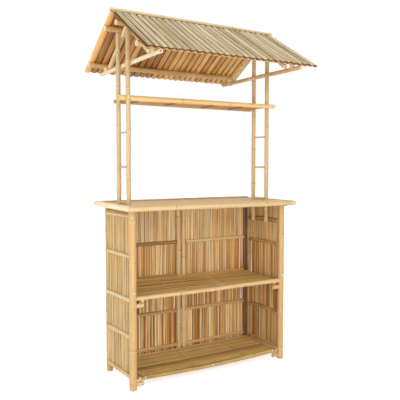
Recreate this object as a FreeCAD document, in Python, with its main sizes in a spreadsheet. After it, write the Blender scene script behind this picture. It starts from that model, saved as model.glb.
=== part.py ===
"""Bamboo bar hut: an open cabinet with an overhanging counter, two ladder uprights, a high shelf
and a gabled roof of split culms.

X runs along the bar, Y from the open front with the shelves to the customer's side, Z up. The
origin is on the floor, under the ridge and midway between the end posts.
"""

import FreeCAD, Part
import math
import os
import re

import Sketcher
from FreeCAD import Placement, Rotation, Vector

# Driving dimensions in millimetres, degrees and counts
SIZES = {
    # Corner posts: half the distances between their axes
    "post_diameter": 38,
    "post_x": 502,
    "post_y": 172,
    "saddle_depth": 5,
    # Counter top
    "counter_height": 1000,
    "counter_pole_diameter": 30,
    "counter_half_length": 557,
    "counter_front": 248,
    "counter_rear": 258,
    "counter_deck_thickness": 8,
    "counter_deck_drop": 3,
    "joist_diameter": 26,
    # Side panels: battens and slat mats between the posts
    "panel_half_width": 153,
    "mat_thickness": 6,
    "mat_gap": 1,
    "mat_margin": 12,
    "back_mat_bottom": 44,
    "batten_diameter": 22,
    "thick_batten_diameter": 31,
    "side_level_bottom": 66,
    "side_level_low": 284,
    "side_level_middle": 485,
    "side_level_high": 723,
    "side_level_top": 942,
    "thick_batten_level": 867,
    "right_side_slit": 25,
    # Back panel: two framed halves
    "stile_diameter": 30,
    "stile_bottom": 30,
    "stile_top": 958,
    "outer_stile_x": 468,
    "left_inner_stile_x": 36.5,
    "right_inner_stile_x": -4.5,
    "back_level_bottom": 95,
    "back_level_low": 305,
    "back_level_middle": 520,
    "back_level_high": 737,
    "back_level_top": 953,
    "right_back_slit": 19,
    "cleat_length": 72,
    "cleat_height": 40,
    "cleat_thickness": 12,
    "cleat_low_level": 50,
    "cleat_high_level": 886,
    # Cabinet shelves: level is that of the rail's axis
    "shelf_mid_level": 497,
    "shelf_low_level": 57,
    "shelf_rail_diameter": 24,
    "shelf_front_y": 170,
    "shelf_rear_y": 145,
    "shelf_deck_thickness": 10,
    "shelf_joist_diameter": 22,
    "shelf_mid_rail_half_length": 488,
    "shelf_mid_half_length": 478,
    "shelf_mid_joist_x": 448,
    "shelf_mid_joist_level": 486,
    "shelf_low_half_length": 452,
    "shelf_low_joist_x": 463,
    "shelf_low_joist_level": 57,
    "shelf_joist_front": 182,
    "shelf_screw_x": 434,
    "peg_diameter": 30,
    "peg_inner_x": 442,
    # Uprights and their rungs
    "upright_diameter": 25,
    "upright_x": 471,
    "upright_front_y": 58,
    "upright_rear_y": 80,
    "upright_bottom": 856,
    "upright_top": 1956,
    "upright_clearance": 1,
    "rung_diameter": 10,
    "rung_low_level": 1204,
    "rung_high_level": 1395,
    "tenon_length": 8,
    "foot_bar_diameter": 16,
    # High shelf
    "high_rail_large": 32,
    "high_rail_small": 24,
    "high_rail_left": 516,
    "high_rail_right": 508,
    "high_rail_angle": 3.23,
    "high_rail_middle_y": 56.1,
    "high_rail_level": 1583,
    "high_rear_diameter": 21,
    "high_rear_left": 488,
    "high_rear_right": 464,
    "high_rear_level": 1575,
    "high_deck_thickness": 8,
    "high_deck_bottom": 1574,
    "high_deck_half_length": 456,
    "high_bearer_diameter": 18,
    "high_deck_reach": 100,
    # Roof
    "roof_angle": 31,
    "roof_apex": 2052,
    "roof_half_length": 548,
    "eave_run": 435,
    "roof_layer": 14.3,
    "culm_radius": 26.6,
    "culm_wall": 3.5,
    "culm_chord": 38,
    "culm_pitch": 40.6,
    "culm_count": 27,
    "trough_start": 10,
    "cap_start": 20,
    "ridge_diameter": 20,
    "ridge_level": 2051,
    "purlin_diameter": 30,
    "purlin_upper_y": 78,
    "purlin_lower_y": 343,
    "purlin_short_end": 470,
    "tie_rod_diameter": 23,
    "gable_x": 447,
    "tie_rod_half_length": 412,
    "tie_rod_level": 1773,
    "rafter_diameter": 28,
    "rafter_angle": 36,
    "rafter_screw_y": 278,
    "packer_diameter": 24,
    "packer_foot": 6,
    # Hollow ends of whole culms
    "hollow_wall": 4.5,
    "hollow_depth": 45,
    # Fasteners
    "screw_diameter": 4,
    "screw_head_diameter": 9,
    "screw_head_height": 2.4,
    "hole_clearance": 0.2,
}

AXES = {
    "x": Vector(1, 0, 0),
    "y": Vector(0, 1, 0),
    "z": Vector(0, 0, 1),
    "-x": Vector(-1, 0, 0),
    "-y": Vector(0, -1, 0),
    "-z": Vector(0, 0, -1),
}
SIDES = {"left": -1, "right": 1}
SIDE_LEVELS = ["bottom", "low", "middle", "high", "top"]

# Height of the counter joists' lowest line
JOIST_BOTTOM = "counter_height - counter_deck_drop - counter_deck_thickness - joist_diameter"

# Places of the bearers under the high shelf, from left to right
HIGH_BEARERS_X = [-390, -165, 85, 285]

doc = FreeCAD.newDocument("bamboo_bar_hut")
nodes = []


def fill_sheet():
    """Writes the driving dimensions, one named cell each."""
    sheet = doc.addObject("Spreadsheet::Sheet", "sizes")
    for row, (name, value) in enumerate(SIZES.items(), start=1):
        sheet.set(f"A{row}", name)
        sheet.set(f"B{row}", str(value))
        sheet.setAlias(f"B{row}", name)
    doc.recompute()


def linked(expression):
    """Turns each dimension's name in an expression into a reference to its cell."""
    def cell(word):
        return f"sizes.{word[0]}" if word[0] in SIZES else word[0]
    return re.sub(r"[a-z_]+", cell, str(expression))


def bind(piece, **sizes):
    """Binds properties of a piece to expressions of the dimensions."""
    for name, expression in sizes.items():
        piece.setExpression(name, linked(expression))


def place(piece, start, turn=Rotation()):
    """Turns a piece and binds its place to three expressions."""
    piece.Placement = Placement(Vector(), turn)
    for axis, expression in zip("xyz", start):
        piece.setExpression(f"Placement.Base.{axis}", linked(expression))


def node(piece):
    """Marks a piece as one of the model's sub-parts."""
    piece.Label = piece.Name
    nodes.append(piece)
    return piece


# Basic shapes


def pole(name, diameter, length, start, along):
    """A round pole whose first end is centred on start and that runs along an axis."""
    piece = doc.addObject("Part::Cylinder", name)
    bind(piece, Radius=f"({diameter}) / 2", Height=length)
    place(piece, start, Rotation(AXES["z"], AXES[along]))
    return piece


def half_pole(name, diameter, length, start, along, rounded):
    """A pole split lengthwise: its flat face passes through start and it bulges one way."""
    piece = doc.addObject("Part::Cylinder", name)
    bind(piece, Radius=f"({diameter}) / 2", Height=length)
    piece.Angle = 180
    bulge = AXES[rounded]
    run = AXES[along]
    place(piece, start, Rotation(bulge.cross(run), bulge, run, "ZYX"))
    return piece


def box(name, size, corner):
    """A board from its lowest corner."""
    piece = doc.addObject("Part::Box", name)
    bind(piece, Length=size[0], Width=size[1], Height=size[2])
    place(piece, corner)
    return piece


def group(name, pieces):
    """Pieces of one kind as one sub-part of separate solids."""
    piece = doc.addObject("Part::Compound", name)
    piece.Links = pieces
    return piece


def cut(name, base, tools):
    """The base with every tool taken out of it."""
    piece = doc.addObject("Part::Cut", name)
    piece.Base = base
    piece.Tool = tools[0] if len(tools) == 1 else group(f"{name}_tools", tools)
    return piece


def common(name, base, tool):
    """What two shapes share."""
    piece = doc.addObject("Part::Common", name)
    piece.Base = base
    piece.Tool = tool
    return piece


def tilt(piece, axis, angle):
    """Turns a placed piece about an axis through its start by a bound angle."""
    piece.Placement = Placement(Vector(), Rotation(AXES[axis], 1))
    piece.setExpression("Placement.Rotation.Angle", linked(angle))


def moved(name, piece, start, axis, angle):
    """A piece made at the origin, carried to its start and turned there."""
    carrier = group(name, [piece])
    place(carrier, start)
    tilt(carrier, axis, angle)
    return carrier


def mirrored(name, source):
    """The same piece on the other slope of the roof."""
    piece = doc.addObject("Part::Mirroring", name)
    piece.Source = source
    piece.Normal = AXES["y"]
    return piece


def hollow_ends(name, diameter, length, start, along):
    """The bores at both ends of a whole culm, up to its first inner walls."""
    axis = "xyz".index(along)
    far_end = list(start)
    far_end[axis] = f"({start[axis]}) + ({length}) - hollow_depth"
    bore = f"({diameter}) - 2 * hollow_wall"
    return [
        pole(f"{name}_first_bore", bore, "hollow_depth", start, along),
        pole(f"{name}_second_bore", bore, "hollow_depth", far_end, along),
    ]


# Fasteners and their holes


def screw(name, seat, along, length):
    """A screw driven along an axis from its seat, with a low head outside."""
    shank = pole(f"{name}_shank", "screw_diameter", length, seat, along)
    head = doc.addObject("Part::Cone", f"{name}_head")
    bind(head, Radius1="screw_head_diameter / 2", Radius2="screw_head_diameter / 4",
         Height="screw_head_height")
    place(head, seat, Rotation(AXES["z"], AXES[along] * -1))
    piece = doc.addObject("Part::Fuse", name)
    piece.Base = shank
    piece.Tool = head
    return piece


def hole(name, seat, along, length):
    """The hole that a screw of the same seat and length needs."""
    return pole(f"{name}_hole", "screw_diameter + hole_clearance", length, seat, along)


def drive(name, seats, along, length):
    """Screws alike at several seats, and their holes."""
    screws = []
    holes = []
    for count, seat in enumerate(seats, start=1):
        screws.append(screw(f"{name}_{count}", seat, along, length))
        holes.append(hole(f"{name}_{count}", seat, along, length))
    return screws, holes


def joined(sets):
    """All screws and all holes of several sets."""
    screws = [piece for some, _ in sets for piece in some]
    holes = [piece for _, some in sets for piece in some]
    return screws, holes


# Cabinet


def post_screws():
    """Two screws through the front of each front post into the side panel's edge."""
    seats = []
    for side in SIDES.values():
        face = "-(post_y + post_diameter / 2)"
        seats.append((f"{side} * (post_x + mat_thickness)", face, "side_level_top - 4"))
        seats.append((f"{side} * post_x", face, "side_level_middle + 48"))
    return drive("post_screw", seats, "y", 50)


def rear_post_screws(side):
    """Two screws through the outside of a rear post into the back frame's stile."""
    face = f"{SIDES[side]} * (post_x + post_diameter / 2)"
    seats = [(face, "post_y", "back_level_low - 60"), (face, "post_y", "back_level_high - 60")]
    inward = "x" if side == "left" else "-x"
    return drive(f"rear_post_screw_{side}", seats, inward, 58)


def corner_posts(joists, holes):
    """Four posts, each with a saddle at its top where a counter joist lies. The blanks are
    returned, to cope the shelf rails against them."""
    blanks = []
    for side, x in SIDES.items():
        for end, y in {"front": -1, "rear": 1}.items():
            name = f"post_{end}_{side}"
            blank = pole(f"{name}_blank", "post_diameter", f"{JOIST_BOTTOM} + saddle_depth",
                         (f"{x} * post_x", f"{y} * post_y", "0"), "z")
            node(cut(name, blank, [joists[side]] + holes))
            blanks.append(blank)
    return blanks


def side_battens(side, holes):
    """Half-round battens outside and inside a side panel, flat against the slat mats."""
    x = SIDES[side]
    outward = "x" if x > 0 else "-x"
    inward = "-x" if x > 0 else "x"
    length = "2 * panel_half_width"
    outer = []
    inner = []
    for level in SIDE_LEVELS:
        start = (f"{x} * (post_x + mat_thickness / 2)", "-panel_half_width", f"side_level_{level}")
        outer.append(half_pole(f"outer_batten_{side}_{level}", "batten_diameter", length, start,
                               "y", outward))
    for level in SIDE_LEVELS[:-1]:
        start = (f"{x} * (post_x - mat_thickness / 2)", "-panel_half_width", f"side_level_{level}")
        inner.append(half_pole(f"inner_batten_{side}_{level}", "batten_diameter", length, start,
                               "y", inward))
    start = (f"{x} * (post_x - mat_thickness / 2)", "-panel_half_width", "thick_batten_level")
    inner.append(half_pole(f"inner_batten_{side}_top", "thick_batten_diameter", length, start,
                           "y", inward))
    outer_group = group(f"side_battens_outer_{side}_blank", outer)
    inner_group = group(f"side_battens_inner_{side}_blank", inner)
    node(cut(f"side_battens_outer_{side}", outer_group, holes))
    node(cut(f"side_battens_inner_{side}", inner_group, holes))


def mat_rows(name, prefix, across, size, corner, ends):
    """Slat mats, one row from each batten level to the next, and to the panel's lower and
    upper ends; across is the panel's run."""
    joints = [f"{prefix}_{level}" for level in SIDE_LEVELS[1:-1]]
    bottoms = [ends[0]] + [f"{joint} + mat_gap / 2" for joint in joints]
    tops = [f"{joint} - mat_gap / 2" for joint in joints] + [ends[1]]
    sides = (size, "mat_thickness") if across == "x" else ("mat_thickness", size)
    return [
        box(f"{name}_{row}", (*sides, f"({top}) - ({bottom})"), (*corner, bottom))
        for row, (bottom, top) in enumerate(zip(bottoms, tops), start=1)
    ]


def side_mats(side, holes):
    """Slat mats of a side panel; the right one leaves a slit beside the rear post."""
    slit = "right_side_slit" if side == "right" else "0"
    width = f"2 * panel_half_width - {slit}"
    corner = (f"{SIDES[side]} * post_x - mat_thickness / 2", "-panel_half_width")
    ends = ("side_level_bottom - mat_margin", JOIST_BOTTOM)
    rows = mat_rows(f"side_mats_{side}", "side_level", "y", width, corner, ends)
    node(cut(f"side_mats_{side}", group(f"side_mats_{side}_blank", rows), holes))


def stile_spans(reach):
    """Ends, across the bar, of what lies between the stiles of each back frame; reach is how
    far a stile stands out from its axis there."""
    return {
        "left": (f"-outer_stile_x + {reach}", f"-left_inner_stile_x - {reach}"),
        "right": (f"right_inner_stile_x + {reach}", f"outer_stile_x - {reach}"),
    }


def back_stiles(holes):
    """Four stiles: two to each half of the back panel."""
    places = {
        "back_stile_left_outer": "-outer_stile_x",
        "back_stile_left_inner": "-left_inner_stile_x",
        "back_stile_right_inner": "right_inner_stile_x",
        "back_stile_right_outer": "outer_stile_x",
    }
    for name, x in places.items():
        blank = pole(f"{name}_blank", "stile_diameter", "stile_top - stile_bottom",
                     (x, "post_y", "stile_bottom"), "z")
        node(cut(name, blank, holes))


def back_battens():
    """Half-round battens between the stiles, inside and outside the mats."""
    spans = stile_spans("sqrt((stile_diameter / 2)^2 - (mat_thickness / 2)^2)")
    faces = {
        "inner": ("post_y - mat_thickness / 2", "-y"),
        "outer": ("post_y + mat_thickness / 2", "y"),
    }
    for face, (y, bulge) in faces.items():
        battens = []
        for half, (first, last) in spans.items():
            for level in SIDE_LEVELS:
                battens.append(half_pole(f"back_batten_{face}_{half}_{level}", "batten_diameter",
                                         f"({last}) - ({first})", (first, y, f"back_level_{level}"),
                                         "x", bulge))
        node(group(f"back_battens_{face}", battens))


def back_mats():
    """Slat mats of the two back frames; the right one leaves a slit at its outer stile."""
    for half, (first, last) in stile_spans("stile_diameter / 2").items():
        slit = "right_back_slit" if half == "right" else "0"
        corner = (first, "post_y - mat_thickness / 2")
        ends = ("back_mat_bottom", "back_level_top + mat_margin")
        rows = mat_rows(f"back_mats_{half}", "back_level", "x",
                        f"({last}) - ({first}) - {slit}", corner, ends)
        node(group(f"back_mats_{half}", rows))


def stile_screws():
    """Screws between the two middle stiles and the cleats that join the frames: driven from
    inside at the upper cleat, and from behind at the lower one."""
    places = ("-left_inner_stile_x - 4", "right_inner_stile_x + 3")
    inside = [(x, "post_y - stile_diameter / 2", "cleat_high_level") for x in places]
    behind = [(x, "post_y + stile_diameter / 2 + cleat_thickness", "cleat_low_level")
              for x in places]
    return joined([
        drive("stile_screw_high", inside, "y", 38),
        drive("stile_screw_low", behind, "-y", 30),
    ])


def back_cleats(holes):
    """Two boards behind the middle stiles, across the joint of the frames."""
    cleats = []
    for level in ("low", "high"):
        size = ("cleat_length", "cleat_thickness", "cleat_height")
        corner = (
            "(right_inner_stile_x - left_inner_stile_x - cleat_length) / 2",
            "post_y + stile_diameter / 2",
            f"cleat_{level}_level - cleat_height / 2",
        )
        cleats.append(box(f"back_cleat_{level}", size, corner))
    node(cut("back_cleats", group("back_cleats_blank", cleats), holes))


# Counter


def counter_joists():
    """Three round joists across the bar, the outer two in the posts' saddles."""
    axis = f"{JOIST_BOTTOM} + joist_diameter / 2"
    start_y = "-counter_front + counter_pole_diameter"
    length = "counter_front + counter_rear - 2 * counter_pole_diameter"
    places = {"left": "-post_x", "middle": "0", "right": "post_x"}
    return {
        name: pole(f"counter_joist_{name}", "joist_diameter", length, (x, start_y, axis), "y")
        for name, x in places.items()
    }


def counter_screws():
    """Screws down through deck and joists, and screws through the mitres of the edge poles."""
    deck_top = "counter_height - counter_deck_drop"
    post_seats = [(x, y, deck_top) for x in ("-post_x", "post_x") for y in ("-post_y", "post_y")]
    middle_seats = [("0", y, deck_top) for y in ("-post_y", "post_y")]
    middle = "counter_height - counter_pole_diameter / 2"
    corner_x = "(counter_half_length - counter_pole_diameter * 0.7)"
    front_seats = [(f"{x} * {corner_x}", "-counter_front", middle) for x in SIDES.values()]
    rear_seats = [(f"{x} * {corner_x}", "counter_rear", middle) for x in SIDES.values()]
    sets = [
        drive("post_top_screw", post_seats, "-z", 50),
        drive("middle_joist_screw", middle_seats, "-z", 30),
        drive("front_mitre_screw", front_seats, "y", 50),
        drive("rear_mitre_screw", rear_seats, "-y", 50),
    ]
    return joined(sets)


def mitre_block(name, outer_half, start, turn):
    """A prism with both ends at 45 degrees, which mitres the edge pole inside it."""
    block = doc.addObject("Part::Wedge", name)
    half = "counter_pole_diameter / 2"
    bind(block, Xmin=f"-({outer_half})", Xmax=outer_half,
         X2min=f"-({outer_half}) + counter_pole_diameter",
         X2max=f"({outer_half}) - counter_pole_diameter",
         Ymin=f"-{half}", Ymax=half, Zmin=f"-{half}", Zmax=half, Z2min=f"-{half}", Z2max=half)
    place(block, start, turn)
    return block


def counter_poles(holes):
    """Four edge poles round the counter, mitred where they meet."""
    level = "counter_height - counter_pole_diameter / 2"
    edge = "counter_pole_diameter / 2"
    middle_y = "(counter_rear - counter_front) / 2"
    half_depth = "(counter_rear + counter_front) / 2"
    poles = {
        "front": ("x", "counter_half_length", ("0", f"-counter_front + {edge}", level), 0),
        "rear": ("x", "counter_half_length", ("0", f"counter_rear - {edge}", level), 180),
        "left": ("y", half_depth, (f"-counter_half_length + {edge}", middle_y, level), -90),
        "right": ("y", half_depth, (f"counter_half_length - {edge}", middle_y, level), 90),
    }
    for side, (along, half, middle, turn) in poles.items():
        name = f"counter_pole_{side}"
        start = list(middle)
        axis = "xyz".index(along)
        start[axis] = f"({middle[axis]}) - ({half})"
        round_pole = pole(f"{name}_round", "counter_pole_diameter", f"2 * ({half})", start, along)
        block = mitre_block(f"{name}_block", half, middle, Rotation(AXES["z"], turn))
        blank = common(f"{name}_blank", round_pole, block)
        node(cut(name, blank, holes))


def counter_deck(upright_holes, holes):
    """The strip deck inside the edge poles, with a hole for each upright."""
    thickness = "counter_deck_thickness"
    pole_size = "counter_pole_diameter"
    size = (
        f"2 * (counter_half_length - {pole_size})",
        f"counter_front + counter_rear - 2 * {pole_size}",
        thickness,
    )
    corner = (
        f"-(counter_half_length - {pole_size})",
        f"-(counter_front - {pole_size})",
        f"counter_height - counter_deck_drop - {thickness}",
    )
    node(cut("counter_deck", box("counter_deck_blank", size, corner), upright_holes + holes))


# Cabinet shelves


def shelf_screws():
    """Screws through the front rails: into the ends of the joists, and at the ends of the
    bottom rail into the deck's edge."""
    face = "-shelf_front_y - shelf_rail_diameter / 2"
    into_joist = "shelf_joist_diameter / 4"
    seats = [
        ("-shelf_mid_joist_x", face, f"shelf_mid_level - {into_joist}"),
        ("0", face, f"shelf_mid_level - {into_joist}"),
        ("shelf_mid_joist_x", face, f"shelf_mid_level - {into_joist}"),
        ("-shelf_screw_x", face, "shelf_low_level + shelf_deck_thickness / 2"),
        ("0", face, f"shelf_low_level - {into_joist}"),
        ("shelf_screw_x", face, "shelf_low_level + shelf_deck_thickness / 2"),
    ]
    return drive("shelf_screw", seats, "y", 48)


def shelf_joists(name, rail):
    """Joists at both ends and in the middle, coped under the front rail. The bottom shelf's
    outer ones lie level with its rails, which end against them."""
    under_deck = f"shelf_{name}_level - shelf_joist_diameter / 2"
    start_y = "-shelf_joist_front"
    joists = []
    for x in (-1, 0, 1):
        outer = x != 0
        reach = "post_y - stile_diameter / 2" if name == "low" and outer else (
            "shelf_rear_y - shelf_rail_diameter / 2")
        level = f"shelf_{name}_joist_level" if outer else under_deck
        joists.append(pole(f"shelf_{name}_joist_{x + 2}", "shelf_joist_diameter",
                           f"shelf_joist_front + {reach}",
                           (f"{x} * shelf_{name}_joist_x", start_y, level), "y"))
    blank = group(f"shelf_{name}_joists_blank", joists)
    return cut(f"shelf_{name}_joists_coped", blank, [rail])


def shelf(name, posts, holes):
    """One shelf of the cabinet: two rails and a deck on three joists. The outer joists lie on
    pegs that stand out from the front posts."""
    level = f"shelf_{name}_level"
    front_half = "post_x - saddle_depth" if name == "mid" else "shelf_low_half_length"
    rear_half = "shelf_mid_rail_half_length" if name == "mid" else "shelf_low_half_length"
    rails = {}
    for end, y, half in (("front", "-shelf_front_y", front_half),
                         ("rear", "shelf_rear_y", rear_half)):
        rails[end] = pole(f"shelf_{name}_rail_{end}_blank", "shelf_rail_diameter",
                          f"2 * ({half})", (f"-({half})", y, level), "x")
        node(cut(f"shelf_{name}_rail_{end}", rails[end], posts + holes))

    deck_half = f"shelf_{name}_half_length"
    inner_front = "-shelf_front_y + shelf_rail_diameter / 2"
    depth = "shelf_front_y + shelf_rear_y - shelf_rail_diameter"
    deck = box(f"shelf_{name}_deck_blank", (f"2 * {deck_half}", depth, "shelf_deck_thickness"),
               (f"-{deck_half}", inner_front, level))
    node(cut(f"shelf_{name}_deck", deck, holes))
    node(cut(f"shelf_{name}_joists", shelf_joists(name, rails["front"]), holes))

    peg_level = f"shelf_{name}_joist_level - (shelf_joist_diameter + peg_diameter) / 2"
    length = "post_x - peg_inner_x"
    pegs = [
        pole(f"shelf_{name}_peg_{side}_blank", "peg_diameter", length,
             (f"{x} * peg_inner_x", "-post_y", peg_level), "x" if x > 0 else "-x")
        for side, x in SIDES.items()
    ]
    blank = group(f"shelf_{name}_pegs_blank", pegs)
    node(cut(f"shelf_{name}_pegs", blank, posts + [rails["front"]]))


# Uprights


def upright_places():
    """Names and plan places of the four uprights."""
    ends = {"front": "-upright_front_y", "rear": "upright_rear_y"}
    return {
        f"{side}_{end}": (f"{x} * upright_x", y)
        for side, x in SIDES.items()
        for end, y in ends.items()
    }


def upright_deck_holes():
    """The holes in the counter that the uprights pass through."""
    return [
        pole(f"deck_hole_{name}", "upright_diameter + upright_clearance", "counter_height",
             (x, y, "counter_height / 2"), "z")
        for name, (x, y) in upright_places().items()
    ]


def upright_foot_screws():
    """Screws through the feet of the uprights into the thick battens of the side panels."""
    sets = []
    for side, x in SIDES.items():
        seats = [
            (f"{x} * (upright_x - upright_diameter / 2)", y, "thick_batten_level")
            for y in ("-upright_front_y", "upright_rear_y")
        ]
        sets.append(drive(f"upright_foot_screw_{side}", seats, "x" if x > 0 else "-x", 36))
    return joined(sets)


def uprights(rungs, holes):
    """Four poles from the side panels up to the purlins, mortised for the rungs."""
    length = "upright_top - upright_bottom"
    for name, (x, y) in upright_places().items():
        start = (x, y, "upright_bottom")
        blank = pole(f"upright_{name}_blank", "upright_diameter", length, start, "z")
        bores = hollow_ends(f"upright_{name}", "upright_diameter", length, start, "z")
        node(cut(f"upright_{name}", blank, bores + rungs + holes))


def upright_rungs():
    """Two thin rungs in each ladder, their tenons let into the uprights."""
    start_y = "-upright_front_y + upright_diameter / 2 - tenon_length"
    length = "upright_front_y + upright_rear_y - upright_diameter + 2 * tenon_length"
    return [
        pole(f"rung_{side}_{level}", "rung_diameter", length,
             (f"{x} * upright_x", start_y, f"rung_{level}_level"), "y")
        for side, x in SIDES.items()
        for level in ("low", "high")
    ]


def upright_feet():
    """A short bar on the counter between the two uprights of each side."""
    bars = [
        pole(f"foot_bar_{side}", "foot_bar_diameter",
             "upright_front_y + upright_rear_y - upright_diameter",
             (f"{x} * upright_x", "-upright_front_y + upright_diameter / 2",
              "counter_height - counter_deck_drop + foot_bar_diameter / 2"), "y")
        for side, x in SIDES.items()
    ]
    node(group("upright_feet", bars))


# High shelf


def high_rail_start():
    """The left end of the high shelf's front rail, which runs askew: behind the left front
    upright and before the right one."""
    return ("-high_rail_left", "-high_rail_middle_y + high_rail_left * tan(high_rail_angle)",
            "high_rail_level")


def high_front_rail():
    """A whole tapering culm, and the same without its hollow ends."""
    length = "(high_rail_left + high_rail_right) / cos(high_rail_angle)"
    cone = doc.addObject("Part::Cone", "high_rail_cone")
    bind(cone, Radius1="high_rail_large / 2", Radius2="high_rail_small / 2", Height=length)
    place(cone, ("0", "0", "0"), Rotation(AXES["z"], AXES["x"]))
    bores = hollow_ends("high_rail_front", "high_rail_small", length, ("0", "0", "0"), "x")
    hollow = cut("high_rail_hollow", cone, bores)
    return [
        moved(f"{piece.Name}_placed", piece, high_rail_start(), "-z", "high_rail_angle")
        for piece in (cone, hollow)
    ]


def high_shelf_screws():
    """Screws between the high shelf's rails and the uprights."""
    behind = ("-upright_x", "-upright_front_y - upright_diameter / 2", "high_rail_level")
    surface = "high_rail_middle_y + upright_x * tan(high_rail_angle) + high_rail_small / 2"
    before = ("upright_x", f"-({surface}) - 2 * hole_clearance", "high_rail_level")
    rear = ("-upright_x", "upright_rear_y + upright_diameter / 2 + high_rear_diameter",
            "high_rear_level")
    front_screws, front_holes = drive("high_front_screw", [behind, before], "y", 42)
    rear_screws, rear_holes = drive("high_rear_screw", [rear], "-y", 34)
    return front_screws + rear_screws, front_holes + rear_holes


def high_rail_space():
    """The space before the front rail's axis, which deck and bearers leave free."""
    block = box("high_rail_space_block", ("high_rail_left + high_rail_right", "100", "100"),
                ("0", "-100", "-50"))
    return moved("high_rail_space", block, high_rail_start(), "-z", "high_rail_angle")


def high_shelf(holes):
    """The shelf above head height: two rails, deck and four bearers under it."""
    solid_rail, hollow_rail = high_front_rail()
    node(cut("high_shelf_rail_front", hollow_rail, holes))

    rear_y = "upright_rear_y + (upright_diameter + high_rear_diameter) / 2"
    start = ("-high_rear_left", rear_y, "high_rear_level")
    length = "high_rear_left + high_rear_right"
    rear = pole("high_rail_rear_blank", "high_rear_diameter", length, start, "x")
    bores = hollow_ends("high_rail_rear", "high_rear_diameter", length, start, "x")
    node(cut("high_shelf_rail_rear", rear, bores + holes))

    depth = "high_deck_reach + upright_rear_y + upright_diameter / 2"
    rail_side = [solid_rail, high_rail_space()]
    deck = box("high_deck_blank", ("2 * high_deck_half_length", depth, "high_deck_thickness"),
               ("-high_deck_half_length", "-high_deck_reach", "high_deck_bottom"))
    node(cut("high_shelf_deck", deck, rail_side))

    bearers = [
        half_pole(f"high_bearer_{count}", "high_bearer_diameter", depth,
                  (x, "-high_deck_reach", "high_deck_bottom"), "y", "-z")
        for count, x in enumerate(HIGH_BEARERS_X, start=1)
    ]
    node(cut("high_shelf_bearers", group("high_bearers_blank", bearers), rail_side))


# Roof


def below_top(run, depth):
    """Height of a line that lies a depth under the front slope's top plane, at a run from
    the ridge."""
    return f"roof_apex - ({run}) * tan(roof_angle) - ({depth}) / cos(roof_angle)"


def culm_section(body, bow):
    """Section of a split culm: two arcs about one centre, joined by radial edges. A bow of 1
    is convex upwards with its crown at the roof's top plane; a bow of -1 hangs below it."""
    plane = [item for item in body.Origin.OriginFeatures if item.Role == "XY_Plane"][0]
    sketch = body.newObject("Sketcher::SketchObject", f"{body.Name}_section")
    sketch.AttachmentSupport = [(plane, "")]
    sketch.MapMode = "FlatFace"

    outer_radius = SIZES["culm_radius"]
    inner_radius = outer_radius - SIZES["culm_wall"]
    half_angle = math.asin(SIZES["culm_chord"] / 2 / outer_radius)
    middle = math.radians(90 * bow)
    first, last = middle - half_angle, middle + half_angle
    centre = Vector(0, -bow * outer_radius, 0)

    def point(radius, angle):
        return centre + Vector(radius * math.cos(angle), radius * math.sin(angle), 0)

    def arc(radius):
        circle = Part.Circle(centre, AXES["z"], radius)
        return sketch.addGeometry(Part.ArcOfCircle(circle, first, last))

    def edge(angle):
        ends = point(outer_radius, angle), point(inner_radius, angle)
        return sketch.addGeometry(Part.LineSegment(*ends))

    outer, inner = arc(outer_radius), arc(inner_radius)
    first_edge, last_edge = edge(first), edge(last)
    rule = Sketcher.Constraint
    for side, corner in ((first_edge, 1), (last_edge, 2)):
        sketch.addConstraint(rule("Coincident", outer, corner, side, 1))
        sketch.addConstraint(rule("Coincident", inner, corner, side, 2))
    sketch.addConstraint(rule("Coincident", outer, 3, inner, 3))
    sketch.addConstraint(rule("PointOnObject", outer, 3, -2))
    sketch.addConstraint(rule("Horizontal", outer, 1, outer, 2))
    sketch.addConstraint(rule("PointOnObject", outer, 3, first_edge))
    sketch.addConstraint(rule("PointOnObject", outer, 3, last_edge))

    left, right = (2, 1) if bow > 0 else (1, 2)
    centre_height = "-culm_radius" if bow > 0 else "culm_radius - roof_layer"
    measures = [
        (rule("Radius", outer, outer_radius), "culm_radius"),
        (rule("Radius", inner, inner_radius), "culm_radius - culm_wall"),
        (rule("DistanceY", -1, 1, outer, 3, centre.y), centre_height),
        (rule("DistanceX", outer, left, outer, right, SIZES["culm_chord"]), "culm_chord"),
    ]
    for measure, expression in measures:
        index = sketch.addConstraint(measure)
        sketch.setExpression(f"Constraints[{index}]", linked(expression))
    doc.recompute()
    return sketch


def culm_row(name, bow, count, start):
    """A row of split culms down the front slope, from start below the ridge to the eave."""
    body = doc.addObject("PartDesign::Body", name)
    culm = body.newObject("PartDesign::Pad", f"{name}_culm")
    culm.Profile = culm_section(body, bow)
    bind(culm, Length=f"eave_run / cos(roof_angle) - {start}")
    doc.recompute()

    row = body.newObject("PartDesign::LinearPattern", f"{name}_row")
    row.Originals = [culm]
    along = [item for item in body.Origin.OriginFeatures if item.Role == "X_Axis"][0]
    row.Direction = (along, [""])
    bind(row, Length=f"({count} - 1) * culm_pitch", Occurrences=count)
    body.Tip = row

    place(body, (f"-({count} - 1) / 2 * culm_pitch", f"-{start} * cos(roof_angle)",
                 f"roof_apex - {start} * sin(roof_angle)"))
    tilt(body, "x", "90 + roof_angle")
    return body


def roof_covering():
    """Lower culms with their hollow side up, and upper culms over the seams between them."""
    troughs = culm_row("roof_troughs_front", -1, "culm_count", "trough_start")
    caps = culm_row("roof_caps_front", 1, "(culm_count - 1)", "cap_start")
    node(troughs)
    node(caps)
    node(mirrored("roof_troughs_rear", troughs))
    node(mirrored("roof_caps_rear", caps))


def purlin_height(run):
    """Height of a purlin's axis at a run from the ridge."""
    return below_top(run, "roof_layer + purlin_diameter / 2")


def under_purlin(away, down="0"):
    """Y and Z of a point away from the front upper purlin's axis, square to the rafter, and
    then down along the rafter."""
    return (
        f"-purlin_upper_y + ({away}) * sin(rafter_angle) - ({down}) * cos(rafter_angle)",
        f"{purlin_height('purlin_upper_y')} - ({away}) * cos(rafter_angle)"
        f" - ({down}) * sin(rafter_angle)",
    )


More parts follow.
